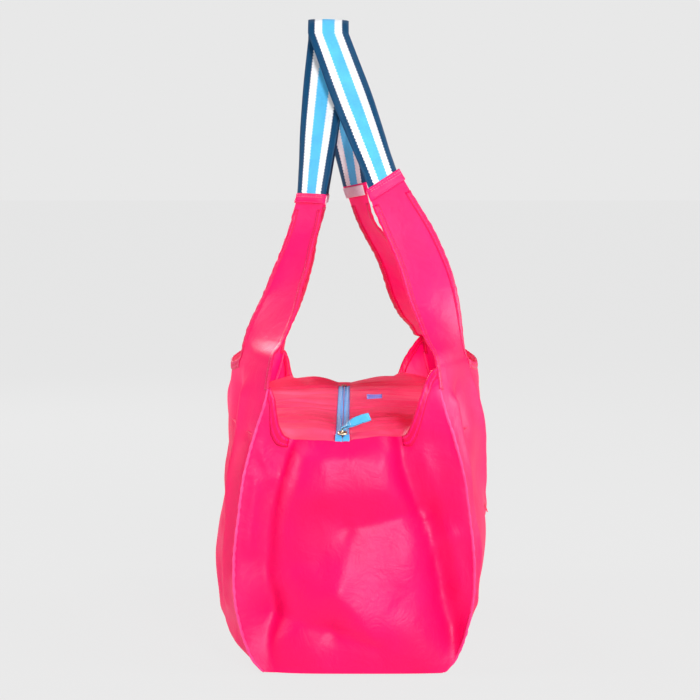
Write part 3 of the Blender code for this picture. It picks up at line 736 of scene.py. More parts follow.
def ring_faces(count, ring):
    """The sides and both ends of a bar made of count rings, each of ring points."""
    faces = []
    for k in range(count - 1):
        for j in range(ring):
            n = (j + 1) % ring
            faces.append((k * ring + j, k * ring + n, (k + 1) * ring + n, (k + 1) * ring + j))
    faces.append(tuple(range(ring))[::-1])
    faces.append(tuple((count - 1) * ring + j for j in range(ring)))
    return faces


def tube(name, line, radius, ring=8, flat=1.0):
    """A closed round bar along a line, pressed flat by the given share in height."""
    line = np.asarray(line, float)
    forward = np.gradient(line, axis=0)
    forward /= np.linalg.norm(forward, axis=1, keepdims=True)
    side = np.cross(forward, (0, 0, 1.0))
    weak = np.linalg.norm(side, axis=1, keepdims=True) < 0.05
    side = np.where(weak, np.cross(forward, (0, 1.0, 0)), side)
    side /= np.linalg.norm(side, axis=1, keepdims=True)
    up = np.cross(side, forward)
    points = []
    for k in range(len(line)):
        for j in range(ring):
            turn = 2 * np.pi * j / ring
            points.append(line[k] + radius * (np.cos(turn) * side[k] + flat * np.sin(turn) * up[k]))
    points = np.array(points)
    return cloth_object(name, points, points[:, :2], ring_faces(len(line), ring))


TAPE_IN, TAPE_OUT = 2.3, 6.3
tape_cloth = woven_tape("zip_tape", (0.06, 0.42, 0.86), (0.02, 0.20, 0.60))
for word, side in (("front", -1), ("back", 1)):
    tape_end = float(gusset_face("right", np.array(ZIP_Y), roof_top(HALF_LENGTH))) + 0.3
    x = np.linspace(ZIP_LEFT, tape_end, 170)
    # past the stop the two tapes close up and bend down into the seam of the gusset
    rim_z = float(gusset_rim("right", np.array(ZIP_Y)))
    dip = smoothstep(ZIP_RIGHT - 5, tape_end, x) * (roof_top(x) - 0.6 - rim_z)
    inner = TAPE_IN - 2.15 * smoothstep(ZIP_RIGHT - 5, ZIP_RIGHT - 3.4, x)
    lines = []
    for share in (0, 0.12, 0.3, 0.5, 0.7, 0.88, 1):
        rise = 0.5 * np.sin(np.pi * share) + 0.18 * np.sin(x / 6.1 + side) * share
        lines.append(np.stack([x, ZIP_Y + side * (inner + (TAPE_OUT - inner) * share),
                               roof_top(x) - 0.75 + rise - dip], axis=1))
    top = np.array(lines)
    under = top[::-1] - np.array((0, 0, 0.7))
    ring = np.concatenate([top, under])
    count = len(x)
    faces = []
    for k in range(len(ring)):
        n = (k + 1) % len(ring)
        for j in range(count - 1):
            quad = (k * count + j, k * count + j + 1, n * count + j + 1, n * count + j)
            faces.append(quad if side < 0 else quad[::-1])
    flat_ring = ring.reshape(-1, 3)
    tape = cloth_object(f"{word}_zip_tape_weave", flat_ring, flat_ring[:, :2], faces)
    tape.data.materials.append(tape_cloth)
    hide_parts(f"{word}_zip_tape")
    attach(tape, "bag_body")
    # two rows of thread hold the tape to the roof
    for row, at in enumerate((TAPE_OUT - 1.1, TAPE_OUT + 1.3)):
        beads = []
        for k, start in enumerate(np.arange(ZIP_LEFT + 1, ZIP_RIGHT - 3, 3.1)):
            t = np.linspace(start, start + 2.3, 5)
            arch = 0.32 * np.sin(np.linspace(0, np.pi, 5))
            y = np.full(5, ZIP_Y + side * at)
            beads.append(np.stack([t, y, roof_top(t) + (0.05 if row else 0.0) + arch], axis=1))
        points, faces = [], []
        for bead in beads:
            one = tube("thread", bead, 0.26, ring=5)
            data = one.data
            base_at = len(points)
            points += [tuple(np.array(v.co) / MM) for v in data.vertices]
            faces += [tuple(base_at + i for i in f.vertices) for f in data.polygons]
            bpy.data.objects.remove(one, do_unlink=True)
            bpy.data.meshes.remove(data)
        points = np.array(points)
        stitches = cloth_object(f"{word}_zip_stitches_{row + 1}", points, points[:, :2], faces)
        tones = ((0.05, 0.35, 0.8), (0.02, 0.2, 0.6)) if row == 0 else ((1.0, 0.05, 0.2), (0.7, 0.0, 0.08))
        stitches.data.materials.append(woven_tape(f"zip_thread_{word}_{row}", *tones))
        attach(stitches, "bag_body")

# The coils: on each side a filament wound round and round. They stay closed as the slider runs, so
# the loops stop just short of the other side's, and the slider's thin post passes between.
COIL_PITCH = 1.5
coil_nylon = woven_tape("zip_coil", (0.10, 0.40, 0.80), (0.04, 0.22, 0.58), roughness=0.35)
for word, side, offset in (("front", -1, 0.0), ("back", 1, 0.5)):
    turns = np.arange(0, (ZIP_RIGHT - 5 - ZIP_LEFT) / COIL_PITCH - 0.5, 1 / 12)
    x = ZIP_LEFT + 0.4 + (turns + offset) * COIL_PITCH
    angle = 2 * np.pi * turns
    y = ZIP_Y + side * (1.52 - 1.0 * np.cos(angle))
    z = roof_top(x) - 1.0 + 0.62 * np.sin(angle)
    coil = tube(f"{word}_zip_teeth", np.stack([x, y, z], axis=1), 0.42, ring=6)
    coil.data.materials.append(coil_nylon)
    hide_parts(f"{word}_zip_coil")
    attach(coil, "bag_body")


def metal(name, colour, roughness=0.27):
    """Plated zip metal with fine tumbling marks and darker worn hollows."""
    made, node, link = shader_maker(name)
    place = node("ShaderNodeTexCoord")
    marks = node("ShaderNodeTexNoise", Scale=900.0, Detail=5.0)
    wear = node("ShaderNodeTexNoise", Scale=260.0, Detail=3.0)
    link(place.outputs["Object"], marks.inputs["Vector"])
    link(place.outputs["Object"], wear.inputs["Vector"])
    tone = node("ShaderNodeMix", data_type="RGBA")
    tone.inputs["A"].default_value = (*(0.55 * np.array(colour)), 1)
    tone.inputs["B"].default_value = (*colour, 1)
    spread = node("ShaderNodeMapRange")
    spread.inputs["From Min"].default_value = 0.3
    spread.inputs["From Max"].default_value = 0.55
    link(wear.outputs["Fac"], spread.inputs["Value"])
    link(spread.outputs["Result"], tone.inputs["Factor"])
    rough = node("ShaderNodeMapRange")
    rough.inputs["To Min"].default_value = roughness - 0.08
    rough.inputs["To Max"].default_value = roughness + 0.18
    link(marks.outputs["Fac"], rough.inputs["Value"])
    bump = node("ShaderNodeBump", Strength=0.12, Distance=0.0002)
    link(marks.outputs["Fac"], bump.inputs["Height"])
    surface = node("ShaderNodeBsdfPrincipled", Metallic=1.0)
    end = node("ShaderNodeOutputMaterial")
    link(tone.outputs["Result"], surface.inputs["Base Color"])
    link(rough.outputs["Result"], surface.inputs["Roughness"])
    link(bump.outputs["Normal"], surface.inputs["Normal"])
    link(surface.outputs["BSDF"], end.inputs["Surface"])
    return made


def softened_block(name, x0, x1, y0, y1, above0, above1, bevel, narrow=1.0):
    """A small pressed bar that follows the roof's fall, with rounded edges; narrow pinches its right end."""
    points = []
    for x in (x0, x1):
        pinch = narrow if x == x1 else 1.0
        for y in (y0, y1):
            for above in (above0, above1):
                points.append((x, ZIP_Y + (y - ZIP_Y) * pinch, roof_top(x) + above))
    faces = [(0, 1, 3, 2), (4, 6, 7, 5), (0, 4, 5, 1), (2, 3, 7, 6), (0, 2, 6, 4), (1, 5, 7, 3)]
    block = cloth_object(name, np.array(points, float), np.array(points, float)[:, :2], faces)
    edge = block.modifiers.new("edges", "BEVEL")
    edge.width = bevel * MM
    edge.segments = 3
    return refined(block, 1)


brass = metal("zip_metal", (0.92, 0.74, 0.45))
SLIDER_AT = ZIP_RIGHT - 10
for name, x0, x1 in (("right_zip_stop", SLIDER_AT + 6.5, SLIDER_AT + 9),
                     ("left_zip_stop", ZIP_LEFT + 1, ZIP_LEFT + 3.5)):
    stop = softened_block(name + "_clip", x0, x1, ZIP_Y - 3, ZIP_Y + 3, 0.0, 1.5, 0.6)
    stop.data.materials.append(brass)
    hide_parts(name)
    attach(stop, "bag_body")

strip_end = float(gusset_face("left", np.array(ZIP_Y), roof_top(-HALF_LENGTH))) + 0.8
x, across = np.meshgrid(np.linspace(strip_end, ZIP_LEFT + 2, 42), np.linspace(-1, 1, 11))
lift = 0.5 * gathers(x, 31) * (1 - across ** 4) * smoothstep(ZIP_LEFT + 2, ZIP_LEFT - 12, x)
to_rim = smoothstep(strip_end + 18, strip_end, x)
rim = min(float(gusset_rim("left", np.array(ZIP_Y))), roof_top(strip_end) + 0.5)
z = (roof_top(x) + 0.1 + lift) * (1 - to_rim) + rim * to_rim
strip_points = np.stack([x, ZIP_Y + across * (ZIP_HALF + 0.2), z], axis=2).reshape(-1, 3)
end_strip = cloth_object("left_zip_strip_cloth", strip_points, strip_points[:, :2], grid_faces(*x.shape))
# the strip takes the roof's lighter pink, the painted glow of light through the cloth
end_strip.data.materials.append(roof_nylon)
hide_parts("left_zip_strip")
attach(end_strip, "bag_body")


# ---- Slider ---------------------------------------------------------------------------------------
# A small plated die-cast slider: a plate above and below the coils, a post between, and a bridge
# over the top for the pull. It runs along the zip.
PLATE_TOP, BAR_RISE = 1.5, 4.1


def joined(name, parts):
    """Several meshes made one object."""
    points, faces = [], []
    for part in parts:
        base_at = len(points)
        points += [tuple(np.array(v.co) / MM) for v in part.data.vertices]
        faces += [tuple(base_at + i for i in f.vertices) for f in part.data.polygons]
        data = part.data
        bpy.data.objects.remove(part, do_unlink=True)
        bpy.data.meshes.remove(data)
    points = np.array(points)
    return cloth_object(name, points, points[:, :2], faces)


arch = []
for t in np.linspace(0, np.pi, 17):
    x = SLIDER_AT - 5.0 * np.cos(t)
    rise = (BAR_RISE - PLATE_TOP + 0.3) * np.sin(t) ** 0.45
    arch.append((x, ZIP_Y, roof_top(x) + PLATE_TOP - 0.3 + rise))
back_x, front_x = SLIDER_AT - 6, SLIDER_AT + 6
side_y = 4.2
slider = joined("slider_body", [
    softened_block("plate", back_x, front_x, ZIP_Y - side_y, ZIP_Y + side_y, 0.3, PLATE_TOP, 0.55, 0.8),
    softened_block("under", back_x, front_x, ZIP_Y - side_y, ZIP_Y + side_y, -3.5, -2.4, 0.5, 0.8),
    softened_block("post", SLIDER_AT + 1, SLIDER_AT + 4, ZIP_Y - 0.08, ZIP_Y + 0.08, -2.8, 0.8, 0.03),
    softened_block("lip_front", SLIDER_AT - 5.4, SLIDER_AT + 5, ZIP_Y - side_y, ZIP_Y - 3.4,
                   -0.4, 1.0, 0.3, 0.85),
    softened_block("lip_back", SLIDER_AT - 5.4, SLIDER_AT + 5, ZIP_Y + 3.4, ZIP_Y + side_y,
                   -0.4, 1.0, 0.3, 0.85),
    tube("bridge", arch, 0.62, ring=10)])
slider.data.materials.append(brass)
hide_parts("zip_slider")
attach(slider, "slider")


# ---- Pull ribbon ----------------------------------------------------------------------------------
# A short length of sky-blue grosgrain ribbon, looped round the bridge, folded back on itself and
# closed with a small box of stitches. It swings on the bridge.
PULL_LENGTH, PULL_HALF_WIDTH, PULL_LIFT = 26.0, 3.7, np.radians(24)
pull_z = roof_top(SLIDER_AT) + BAR_RISE
path = []
for t in np.linspace(0, 1, 22):
    path.append((PULL_LENGTH * (1 - t), 0.75 * smoothstep(0, 0.1, t) + 0.35 * smoothstep(0.75, 0.95, t)))
for t in np.linspace(0.56 * np.pi, 1.44 * np.pi, 15):
    path.append((1.35 * np.cos(t), 1.15 * np.sin(t)))
for t in np.linspace(0, 1, 22):
    path.append((PULL_LENGTH * t, -0.75 * smoothstep(1, 0.9, t) - 0.35 * smoothstep(0.25, 0.05, t)))
path = np.array(path)
run = np.concatenate([[0], np.cumsum(np.linalg.norm(np.diff(path, axis=0), axis=1))])
tangent = np.gradient(path, axis=0)
tangent /= np.linalg.norm(tangent, axis=1, keepdims=True)
bend = 1.3 * np.sin(np.clip(path[:, 0] / PULL_LENGTH, 0, 1) * np.pi)
points, cloth, faces = [], [], []
ACROSS = 9


def pull_point(a, b, u):
    """A point of the ribbon: a along it, b above its middle, u across; it twists to face the right end."""
    centre = 1.3 * np.sin(np.clip(a / PULL_LENGTH, 0, 1) * np.pi)
    twist = np.radians(58) * smoothstep(0.05, 0.55, a / PULL_LENGTH)
    off, across = b - centre, u * PULL_HALF_WIDTH
    up = centre + off * np.cos(twist) - across * np.sin(twist)
    return (SLIDER_AT + across * np.cos(twist) + off * np.sin(twist),
            ZIP_Y + a * np.cos(PULL_LIFT) - up * np.sin(PULL_LIFT),
            pull_z + a * np.sin(PULL_LIFT) + up * np.cos(PULL_LIFT))


for layer in (0.34, -0.34):
    for k, (along_pull, above) in enumerate(path):
        n = np.array((-tangent[k][1], tangent[k][0]))
        a, b = np.array((along_pull, above + bend[k])) + n * layer
        for j in range(ACROSS):
            u = -1 + 2 * j / (ACROSS - 1)
            wave = 0.25 * u * u
            points.append(pull_point(a, b + wave, u))
            cloth.append((1000 * (0.5 + 0.5 * u), run[k]))
half = len(path) * ACROSS
for k in range(len(path) - 1):
    for j in range(ACROSS - 1):
        a = k * ACROSS + j
        faces.append((a, a + ACROSS, a + ACROSS + 1, a + 1))
        faces.append((half + a, half + a + 1, half + a + ACROSS + 1, half + a + ACROSS))
    for j, flip in ((0, 1), (ACROSS - 1, 0)):
        a = k * ACROSS + j
        quad = (a, a + ACROSS, half + a + ACROSS, half + a)
        faces.append(quad[::-1] if flip else quad)
for k in (0, len(path) - 1):
    for j in range(ACROSS - 1):
        a = k * ACROSS + j
        quad = (a, a + 1, half + a + 1, half + a)
        faces.append(quad if k == 0 else quad[::-1])


def grosgrain(name, stripes, ribs=0.0011, teeth=310.0, notch=0.032, roughness=0.45):
    """Ribbed ribbon in bands of colour. The cloth coordinates run across (0 to 1) and along, in metres.
    Bands meet in fine woven teeth; stripes lists (share of the width where the band ends, colour)."""
    made, node, link = shader_maker(name)
    place = node("ShaderNodeTexCoord")
    split = node("ShaderNodeSeparateXYZ")
    link(place.outputs["UV"], split.inputs["Vector"])
    beat = node("ShaderNodeMath", operation="MULTIPLY")
    beat.inputs[1].default_value = teeth
    link(split.outputs["Y"], beat.inputs[0])
    tooth = node("ShaderNodeMath", operation="PINGPONG")
    tooth.inputs[1].default_value = 0.5
    link(beat.outputs["Value"], tooth.inputs[0])
    shifted = node("ShaderNodeMath", operation="MULTIPLY_ADD")
    shifted.inputs[1].default_value = notch * 2
    link(tooth.outputs["Value"], shifted.inputs[0])
    link(split.outputs["X"], shifted.inputs[2])
    ramp = node("ShaderNodeValToRGB")
    ramp.color_ramp.interpolation = "CONSTANT"
    ramp.color_ramp.elements[0].position = 0
    ramp.color_ramp.elements[0].color = (*stripes[0][1], 1)
    ramp.color_ramp.elements.remove(ramp.color_ramp.elements[-1])
    for (begins, _), (_, colour) in zip(stripes[:-1], stripes[1:]):
        stop_at = ramp.color_ramp.elements.new(begins + notch / 2)
        stop_at.color = (*colour, 1)
    link(shifted.outputs["Value"], ramp.inputs["Fac"])
    grime = node("ShaderNodeTexNoise", Scale=55.0, Detail=4.0)
    link(place.outputs["Object"], grime.inputs["Vector"])
    slub = node("ShaderNodeTexNoise", Scale=700.0, Detail=3.0)
    link(place.outputs["Object"], slub.inputs["Vector"])
    uneven = node("ShaderNodeMath", operation="MULTIPLY_ADD")
    uneven.inputs[1].default_value = 0.7
    link(slub.outputs["Fac"], uneven.inputs[0])
    link(grime.outputs["Fac"], uneven.inputs[2])
    shade = node("ShaderNodeMapRange")
    shade.inputs["From Min"].default_value = 0.55
    shade.inputs["From Max"].default_value = 1.15
    shade.inputs["To Min"].default_value = 0.78
    shade.inputs["To Max"].default_value = 1.06
    link(uneven.outputs["Value"], shade.inputs["Value"])
    dull = node("ShaderNodeMix", data_type="RGBA", blend_type="MULTIPLY")
    dull.inputs["Factor"].default_value = 1.0
    link(ramp.outputs["Color"], dull.inputs["A"])
    link(shade.outputs["Result"], dull.inputs["B"])
    rib = node("ShaderNodeTexWave", Scale=0.314 / ribs, Distortion=0.0, bands_direction="Y")
    link(place.outputs["UV"], rib.inputs["Vector"])
    ribs_bump = node("ShaderNodeBump", Strength=0.5, Distance=0.0005)
    link(rib.outputs["Fac"], ribs_bump.inputs["Height"])
    thread = node("ShaderNodeTexNoise", Scale=1400.0, Detail=2.0)
    link(place.outputs["Object"], thread.inputs["Vector"])
    thread_bump = node("ShaderNodeBump", Strength=0.15, Distance=0.0002)
    link(thread.outputs["Fac"], thread_bump.inputs["Height"])
    link(ribs_bump.outputs["Normal"], thread_bump.inputs["Normal"])
    surface = node("ShaderNodeBsdfPrincipled", Roughness=roughness)
    surface.inputs["Sheen Weight"].default_value = 0.04
    surface.inputs["Sheen Roughness"].default_value = 0.4
    surface.inputs["Specular IOR Level"].default_value = 0.18
    surface.inputs["Anisotropic"].default_value = 0.4
    end = node("ShaderNodeOutputMaterial")
    link(dull.outputs["Result"], surface.inputs["Base Color"])
    link(thread_bump.outputs["Normal"], surface.inputs["Normal"])
    link(surface.outputs["BSDF"], end.inputs["Surface"])
    return made


SKY, WHITE, NAVY = (0.085, 0.47, 0.80), (0.82, 0.82, 0.84), (0.0, 0.048, 0.125)
pull = cloth_object("pull_ribbon_loop", np.array(points), np.array(cloth), faces)
pull.data.materials.append(grosgrain("pull_ribbon", ((1.0, SKY),), notch=0.0))
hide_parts("pull_ribbon")
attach(pull, "pull")
ribbon_stitches = []
for at in (4.6, 8.0):
    for u in np.linspace(-0.82, 0.62, 6):
        dash = []
        for k in range(5):
            s = u + 0.2 * k / 4
            above = 1.14 + 1.3 * np.sin(at / PULL_LENGTH * np.pi)
            above = above + 0.25 * s * s + 0.22 * np.sin(np.pi * k / 4)
            dash.append(pull_point(at, above, s))
        ribbon_stitches.append(tube("thread", dash, 0.2, ring=5))
ribbon_stitches = joined("pull_ribbon_stitches", ribbon_stitches)
ribbon_stitches.data.materials.append(woven_tape("ribbon_thread", (0.75, 0.90, 1.0), (0.35, 0.65, 0.9)))
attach(ribbon_stitches, "pull")


# ---- Labels ---------------------------------------------------------------------------------------
# Two small folded tags of plain woven ribbon, sewn in: one on the roof and one at the back panel.
def folded_tag(name, x, y, z, thickness, colour, shade, turned=False):
    """A closed tag under a grid of points, thickened by the given step."""
    rows, columns = x.shape
    top = np.stack([x, y, z], axis=2).reshape(-1, 3)
    points = np.concatenate([top, top - np.array(thickness)])
    count = len(top)
    cells = grid_faces(rows, columns, turned)
    faces = cells + [tuple(count + i for i in quad[::-1]) for quad in cells]
    rim = list(range(columns)) + [r * columns + columns - 1 for r in range(1, rows)]
    rim += [(rows - 1) * columns + c for c in range(columns - 2, -1, -1)]
    rim += [r * columns for r in range(rows - 2, 0, -1)]
    for a, b in zip(rim, rim[1:] + rim[:1]):
        faces.append((a, b, count + b, count + a) if turned else (b, a, count + a, count + b))
    cloth = points[:, ::2] if turned else points[:, 1::-1]
    tag = cloth_object(name, points, cloth, faces)
    tag.data.materials.append(woven_tape(name.replace("_tag", ""), colour, shade))
    return tag


LABEL_AT = (-43.0, 20.0)
share, across = np.meshgrid(np.linspace(0, 1, 12), np.linspace(-1, 1, 9))
z = roof_top(LABEL_AT[0]) + 1.0 + 3.2 * share ** 1.6 + 0.4 * across ** 2 * share
label = folded_tag("roof_label_tag", LABEL_AT[0] + 5 - 11 * share, LABEL_AT[1] + 7.5 * across, z,
                   (0, 0, 0.9), (0.16, 0.24, 0.85), (0.08, 0.12, 0.6))
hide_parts("roof_label")
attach(label, "bag_body")

SIDE_LABEL_X, SIDE_LABEL_Z = 55.0, 125.0
wall_y = half_width(SIDE_LABEL_X / HALF_LENGTH, SIDE_LABEL_Z)
x, drop = np.meshgrid(np.linspace(-5, 5, 9), np.linspace(0, 1, 12))
y = wall_y + 0.9 + 2.6 * drop ** 1.7 - 0.02 * x * x
side_tag = folded_tag("side_label_tag", SIDE_LABEL_X + x, y, SIDE_LABEL_Z + 5.5 - 11 * drop,
                      (0, 0.8, 0), (0.80, 0.0, 0.06), (0.5, 0.0, 0.03), turned=True)
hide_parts("side_label")
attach(side_tag, "bag_body")


# ---- Carrying loops -------------------------------------------------------------------------------
# Striped grosgrain webbing, one length for the front and one for the back. Each end is tucked into
# the top of an arm and held by a folded cuff of nylon with two rows of stitches round it.
LOOP_Y, LOOP_TOP, LOOP_BEND, NEST = -24.0, 577.0, 23.0, 14.0
WEBBING_HALF, WEBBING_THICK, CUFF_SHARE = 19.0, 1.6, 0.33
STRIPES = ((0.165, NAVY), (0.345, WHITE), (0.655, SKY), (0.835, WHITE), (1.0, NAVY))
webbing_weave = grosgrain("webbing", STRIPES)
cuff_nylon = nylon("cuff_nylon", (0.90, 0.0, 0.115), (0.95, 0.0, 0.155), glow=0.12, crinkle=0.4)


def loop_half(stations, loop_top, bend, legs=54, turn=26):
    """(middle, half width) pairs from a cuff to the top of the loop, with x taken outwards."""
    ends = np.array(stations[-1], float)
    low_edge, high_edge = ends[np.argsort(ends[:, 1])]
    cuff, cuff_half = (low_edge + high_edge) / 2, (high_edge - low_edge) / 2
    cuff_half *= WEBBING_HALF / np.linalg.norm(cuff_half)
    middle = np.array((0.0, loop_top - bend))
    reach = np.array((cuff[0], cuff[2])) - middle
    arc = np.arctan2(reach[0], reach[1]) - np.arccos(bend / np.hypot(*reach))
    leave = middle + bend * np.array((np.sin(arc), np.cos(arc)))
    straight = np.array((0, WEBBING_HALF, 0))
    rows = []
    for t in np.linspace(-0.035, 1, legs):
        x, z = np.array((cuff[0], cuff[2])) * (1 - t) + leave * t
        y = LOOP_Y + (cuff[1] - LOOP_Y) * (1 - t)
        turned = smoothstep(0, 1.15, 1 - t)
        across = cuff_half * turned + straight * (1 - turned)
        rows.append(((x, y, z), across * WEBBING_HALF / np.linalg.norm(across)))
    for t in np.linspace(1, 0, turn)[1:]:
        x, z = middle + bend * np.array((np.sin(arc * t), np.cos(arc * t)))
        rows.append(((x, LOOP_Y, z), straight))
    return np.array(rows)


def ribbon(name, rows, thick, columns=16, cup=0.7):
    """Webbing of the given thickness along the rows, a little cupped, with rounded selvedges."""
    middle, across = rows[:, 0], rows[:, 1]
    forward = np.gradient(middle, axis=0)
    forward /= np.linalg.norm(forward, axis=1, keepdims=True)
    unit = across / np.linalg.norm(across, axis=1, keepdims=True)
    normal = np.cross(forward, unit)
    normal /= np.linalg.norm(normal, axis=1, keepdims=True)
    run = np.concatenate([[0], np.cumsum(np.linalg.norm(np.diff(middle, axis=0), axis=1))])
    points, cloth = [], []
    loop = [(j / columns, 1) for j in range(columns + 1)]
    loop += [(1 - j / columns, -1) for j in range(columns + 1)]
    for k in range(len(middle)):
        free = smoothstep(8, 34, min(run[k], run[-1] - run[k]))
        wave = (0.35 * np.sin(run[k] / 23.0) + 0.2 * np.sin(run[k] / 9.0)) * free
        for u, face in loop:
            s = 2 * u - 1
            half_thick = thick / 2 * (1 - 0.55 * abs(s) ** 14)
            points.append(middle[k] + across[k] * s + normal[k] * (
                face * half_thick + cup * (s * s - 0.4) * free + wave * s))
            cloth.append((1000 * u, run[k]))
    faces = ring_faces(len(middle), len(loop))
    return cloth_object(name, np.array(points), np.array(cloth), faces)


def cuff_sleeve(name, low, high, end):
    """A pressed flat sleeve between two pairs of edge points, thicker along its folded top."""
    low, high = (np.asarray(pair, float) * np.array((end, 1, 1)) for pair in (low, high))
    points, cloth = [], []
    ring, steps = 40, 22
    climb = high.mean(axis=0) - low.mean(axis=0)
    length = np.linalg.norm(climb)
    across = high[1] - high[0]
    across /= np.linalg.norm(across)
    face = np.cross(across, climb / length)
    face /= np.linalg.norm(face)
    profile = [(0.0, 0.15), (0.0, 0.8)] + [(t, 1.0) for t in np.linspace(0.05, 0.95, steps)]
    profile += [(1.0, 0.8), (1.0, 0.15)]
    for t, fill in profile:
        a, b = low[0] * (1 - t) + high[0] * t, low[1] * (1 - t) + high[1] * t
        middle, half_w = (a + b) / 2, np.linalg.norm(b - a) / 2 + 1.6
        band = 0.55 * np.exp(-((t - 0.9) / 0.09) ** 2) + 0.55 * np.exp(-((t - 0.1) / 0.09) ** 2)
        row = -0.3 * (np.exp(-((t - 0.80) / 0.035) ** 2) + np.exp(-((t - 0.62) / 0.035) ** 2))
        for j in range(ring):
            turn = 2 * np.pi * j / ring
            c, s = np.cos(turn), np.sin(turn)
            flat_c = np.sign(c) * abs(c) ** 0.55
            pucker = 0.22 * np.sin(flat_c * half_w * 2 * np.pi / 6.4 + 9 * t)
            depth = (2.1 + band + row + pucker) * fill
            points.append(middle + across * flat_c * (half_w - 1.2 * (1 - fill))
                          + face * depth * np.sign(s) * abs(s) ** 0.7)
            cloth.append((flat_c * half_w, t * length))
    made = cloth_object(name, np.array(points), np.array(cloth), ring_faces(len(profile), ring))
    rows = []
    for t in (0.62, 0.80):
        a, b = low[0] * (1 - t) + high[0] * t, low[1] * (1 - t) + high[1] * t
        width = np.linalg.norm(b - a)
        for front in (-1, 1):
            for start in np.arange(1.0, width - 2.6, 3.3):
                s = (start + np.linspace(0, 2.3, 5)) / width
                arch = 1.72 + 0.3 * np.sin(np.linspace(0, np.pi, 5))
                line = a + (b - a) * s[:, None] + face * front * arch[:, None]
                rows.append(tube("thread", line, 0.3, ring=5))
    return made, joined(name + "_stitches", rows)


LOOPS = (("front", (FRONT_ARM, FRONT_ARM), LOOP_TOP - NEST, LOOP_BEND - NEST),
         ("back", (BACK_ARM, BACK_LEFT_ARM), LOOP_TOP, LOOP_BEND))
# white webbing given a pale mauve: painted shade, for where it lies inside the arm
backing_weave_painted_shade = grosgrain("webbing_backing_painted_shade", ((1.0, (0.80, 0.62, 0.70)),), notch=0.0)
thread_pink = woven_tape("pink_thread", (1.0, 0.10, 0.28), (0.8, 0.0, 0.08))
for word, arms, loop_top, bend_radius in LOOPS:
    right, left = (loop_half(stations, loop_top, bend_radius) for stations in arms)
    rows = np.concatenate([right, left[-2::-1] * np.array((-1, 1, 1))])
    strap = ribbon(f"{word}_webbing_strap", rows, WEBBING_THICK)
    strap.data.materials.append(webbing_weave)
    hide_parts(f"{word}_webbing")
    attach(strap, f"{word}_handle")
    for end, place, stations in ((1, "right", arms[0]), (-1, "left", arms[1])):
        edges = np.array(stations, float)
        foot = edges[-1] + (edges[-2] - edges[-1]) * CUFF_SHARE
        cuff, thread = cuff_sleeve(f"{word}_{place}_cuff_fold", foot, edges[-1], end)
        cuff.data.materials.append(cuff_nylon)
        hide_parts(f"{word}_{place}_cuff")
        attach(cuff, f"{word}_handle")
        thread.data.materials.append(thread_pink)
        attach(thread, f"{word}_handle")
        # the bare end of the webbing's backing shows on the inner side of the cuff; it is white tape, and
        # its pale mauve is painted shade
        low, high = (pair * np.array((end, 1, 1)) for pair in (foot, edges[-1]))
        face = np.cross(high[1] - high[0], high.mean(axis=0) - low.mean(axis=0))
        face *= -np.sign(face[0] * end) / np.linalg.norm(face)
        t = np.linspace(0.04, 0.90, 14)[:, None]
        middle = low.mean(axis=0) * (1 - t) + high.mean(axis=0) * t + face * 3.1
        across = (low[1] - low[0]) * (1 - t) / 2 + (high[1] - high[0]) * t / 2
        end_rows = np.stack([middle, 0.97 * across], axis=1)
        backing = ribbon(f"{word}_{place}_webbing_end", end_rows, 0.8, cup=0.2)
        backing.data.materials.append(backing_weave_painted_shade)
        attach(backing, f"{word}_handle")


# ---- Room, light and camera -----------------------------------------------------------------------
# A pale sweep under and behind the bag, a key light near the right end, two soft lights overhead,
# and weaker ones that fill the shadows and shine through the cloth.
def sweep_surface():
    made, node, link = shader_maker("pale_sweep")
    place = node("ShaderNodeTexCoord")
    noise = node("ShaderNodeTexNoise", Scale=2.0, Detail=3.0)
    link(place.outputs["Object"], noise.inputs["Vector"])
    tone = node("ShaderNodeMix", data_type="RGBA")
    tone.inputs["A"].default_value = (0.022, 0.022, 0.022, 1)
    tone.inputs["B"].default_value = (0.026, 0.026, 0.026, 1)
    link(noise.outputs["Fac"], tone.inputs["Factor"])
    surface = node("ShaderNodeBsdfDiffuse")
    glow = node("ShaderNodeEmission", Strength=1.0)
    glow.inputs["Color"].default_value = (0.786, 0.786, 0.786, 1)
    both = node("ShaderNodeAddShader")
    end = node("ShaderNodeOutputMaterial")
    link(tone.outputs["Result"], surface.inputs["Color"])
    link(surface.outputs["BSDF"], both.inputs[0])
    link(glow.outputs["Emission"], both.inputs[1])
    link(both.outputs["Shader"], end.inputs["Surface"])
    return made


span = np.linspace(-48000, 48000, 25)
gx, gy = np.meshgrid(span, span)
floor_points = np.stack([gx, gy, 0 * gx - 0.6], axis=2).reshape(-1, 3)
floor = cloth_object("floor", floor_points, floor_points[:, :2], grid_faces(len(span), len(span)))
floor.data.materials.append(sweep_surface())

world = bpy.data.worlds.new("studio")
bpy.context.scene.world = world
world.use_nodes = True
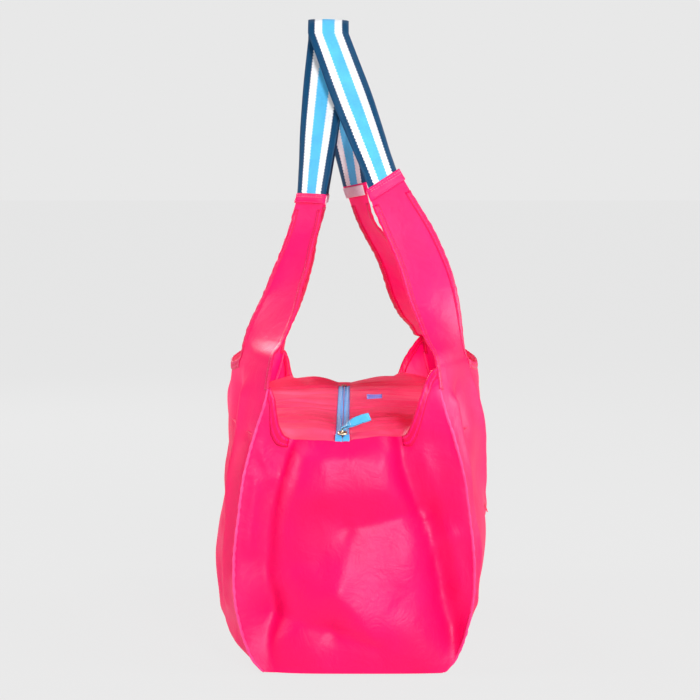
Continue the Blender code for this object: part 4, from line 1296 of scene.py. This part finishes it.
# what is seen past the floor is as pale as the floor, while the room itself is dimmer
around = world.node_tree
room = around.nodes["Background"]
room.inputs["Color"].default_value = (0.08, 0.08, 0.085, 1)
backdrop = around.nodes.new("ShaderNodeBackground")
backdrop.inputs["Color"].default_value = (0.807, 0.807, 0.807, 1)
seen = around.nodes.new("ShaderNodeLightPath")
either = around.nodes.new("ShaderNodeMixShader")
around.links.new(seen.outputs["Is Camera Ray"], either.inputs["Fac"])
around.links.new(room.outputs["Background"], either.inputs[1])
around.links.new(backdrop.outputs["Background"], either.inputs[2])
around.links.new(either.outputs["Shader"], around.nodes["World Output"].inputs["Surface"])


def soft_light(name, at, target, size, power, colour=(1, 1, 1)):
    lamp = bpy.data.lights.new(name, "AREA")
    lamp.shape = "DISK"
    lamp.size = size
    lamp.energy = power
    lamp.color = colour
    lit = bpy.data.objects.new(name, lamp)
    bpy.context.scene.collection.objects.link(lit)
    lit.location = at
    lit.rotation_mode = "QUATERNION"
    lit.rotation_quaternion = (Vector(target) - Vector(at)).to_track_quat("-Z", "Y")
    return lit


soft_light("key", (2.2, 0.62, 0.80), (0, 0, 0.22), 0.55, 54)
soft_light("top_back", (0.45, 1.35, 2.1), (0, 0, 0.3), 0.9, 26)
soft_light("top_front", (0.45, -1.35, 2.1), (0, 0, 0.3), 0.9, 16)
soft_light("far_end", (-2.0, -0.9, 1.2), (0, 0, 0.25), 0.7, 28)
soft_light("front_fill", (0.3, -2.3, 0.8), (0, 0, 0.25), 0.6, 26)
soft_light("back_fill", (-0.7, 2.2, 0.8), (0, 0, 0.25), 0.6, 26)

camera = bpy.data.cameras.new("camera")
camera.lens = 108.3
camera.sensor_width = 36
camera_object = bpy.data.objects.new("camera", camera)
bpy.context.scene.collection.objects.link(camera_object)
camera_object.location = (2.0, 0.0, 0.425)
camera_object.rotation_mode = "QUATERNION"
aim = Vector((0.0, -0.0038, 0.425 - 2.0 * np.tan(np.radians(4.55))))
camera_object.rotation_quaternion = (aim - camera_object.location).to_track_quat("-Z", "Y")
camera.clip_start, camera.clip_end = 0.05, 50
bpy.context.scene.camera = camera_object
bpy.context.scene.view_settings.view_transform = "Standard"
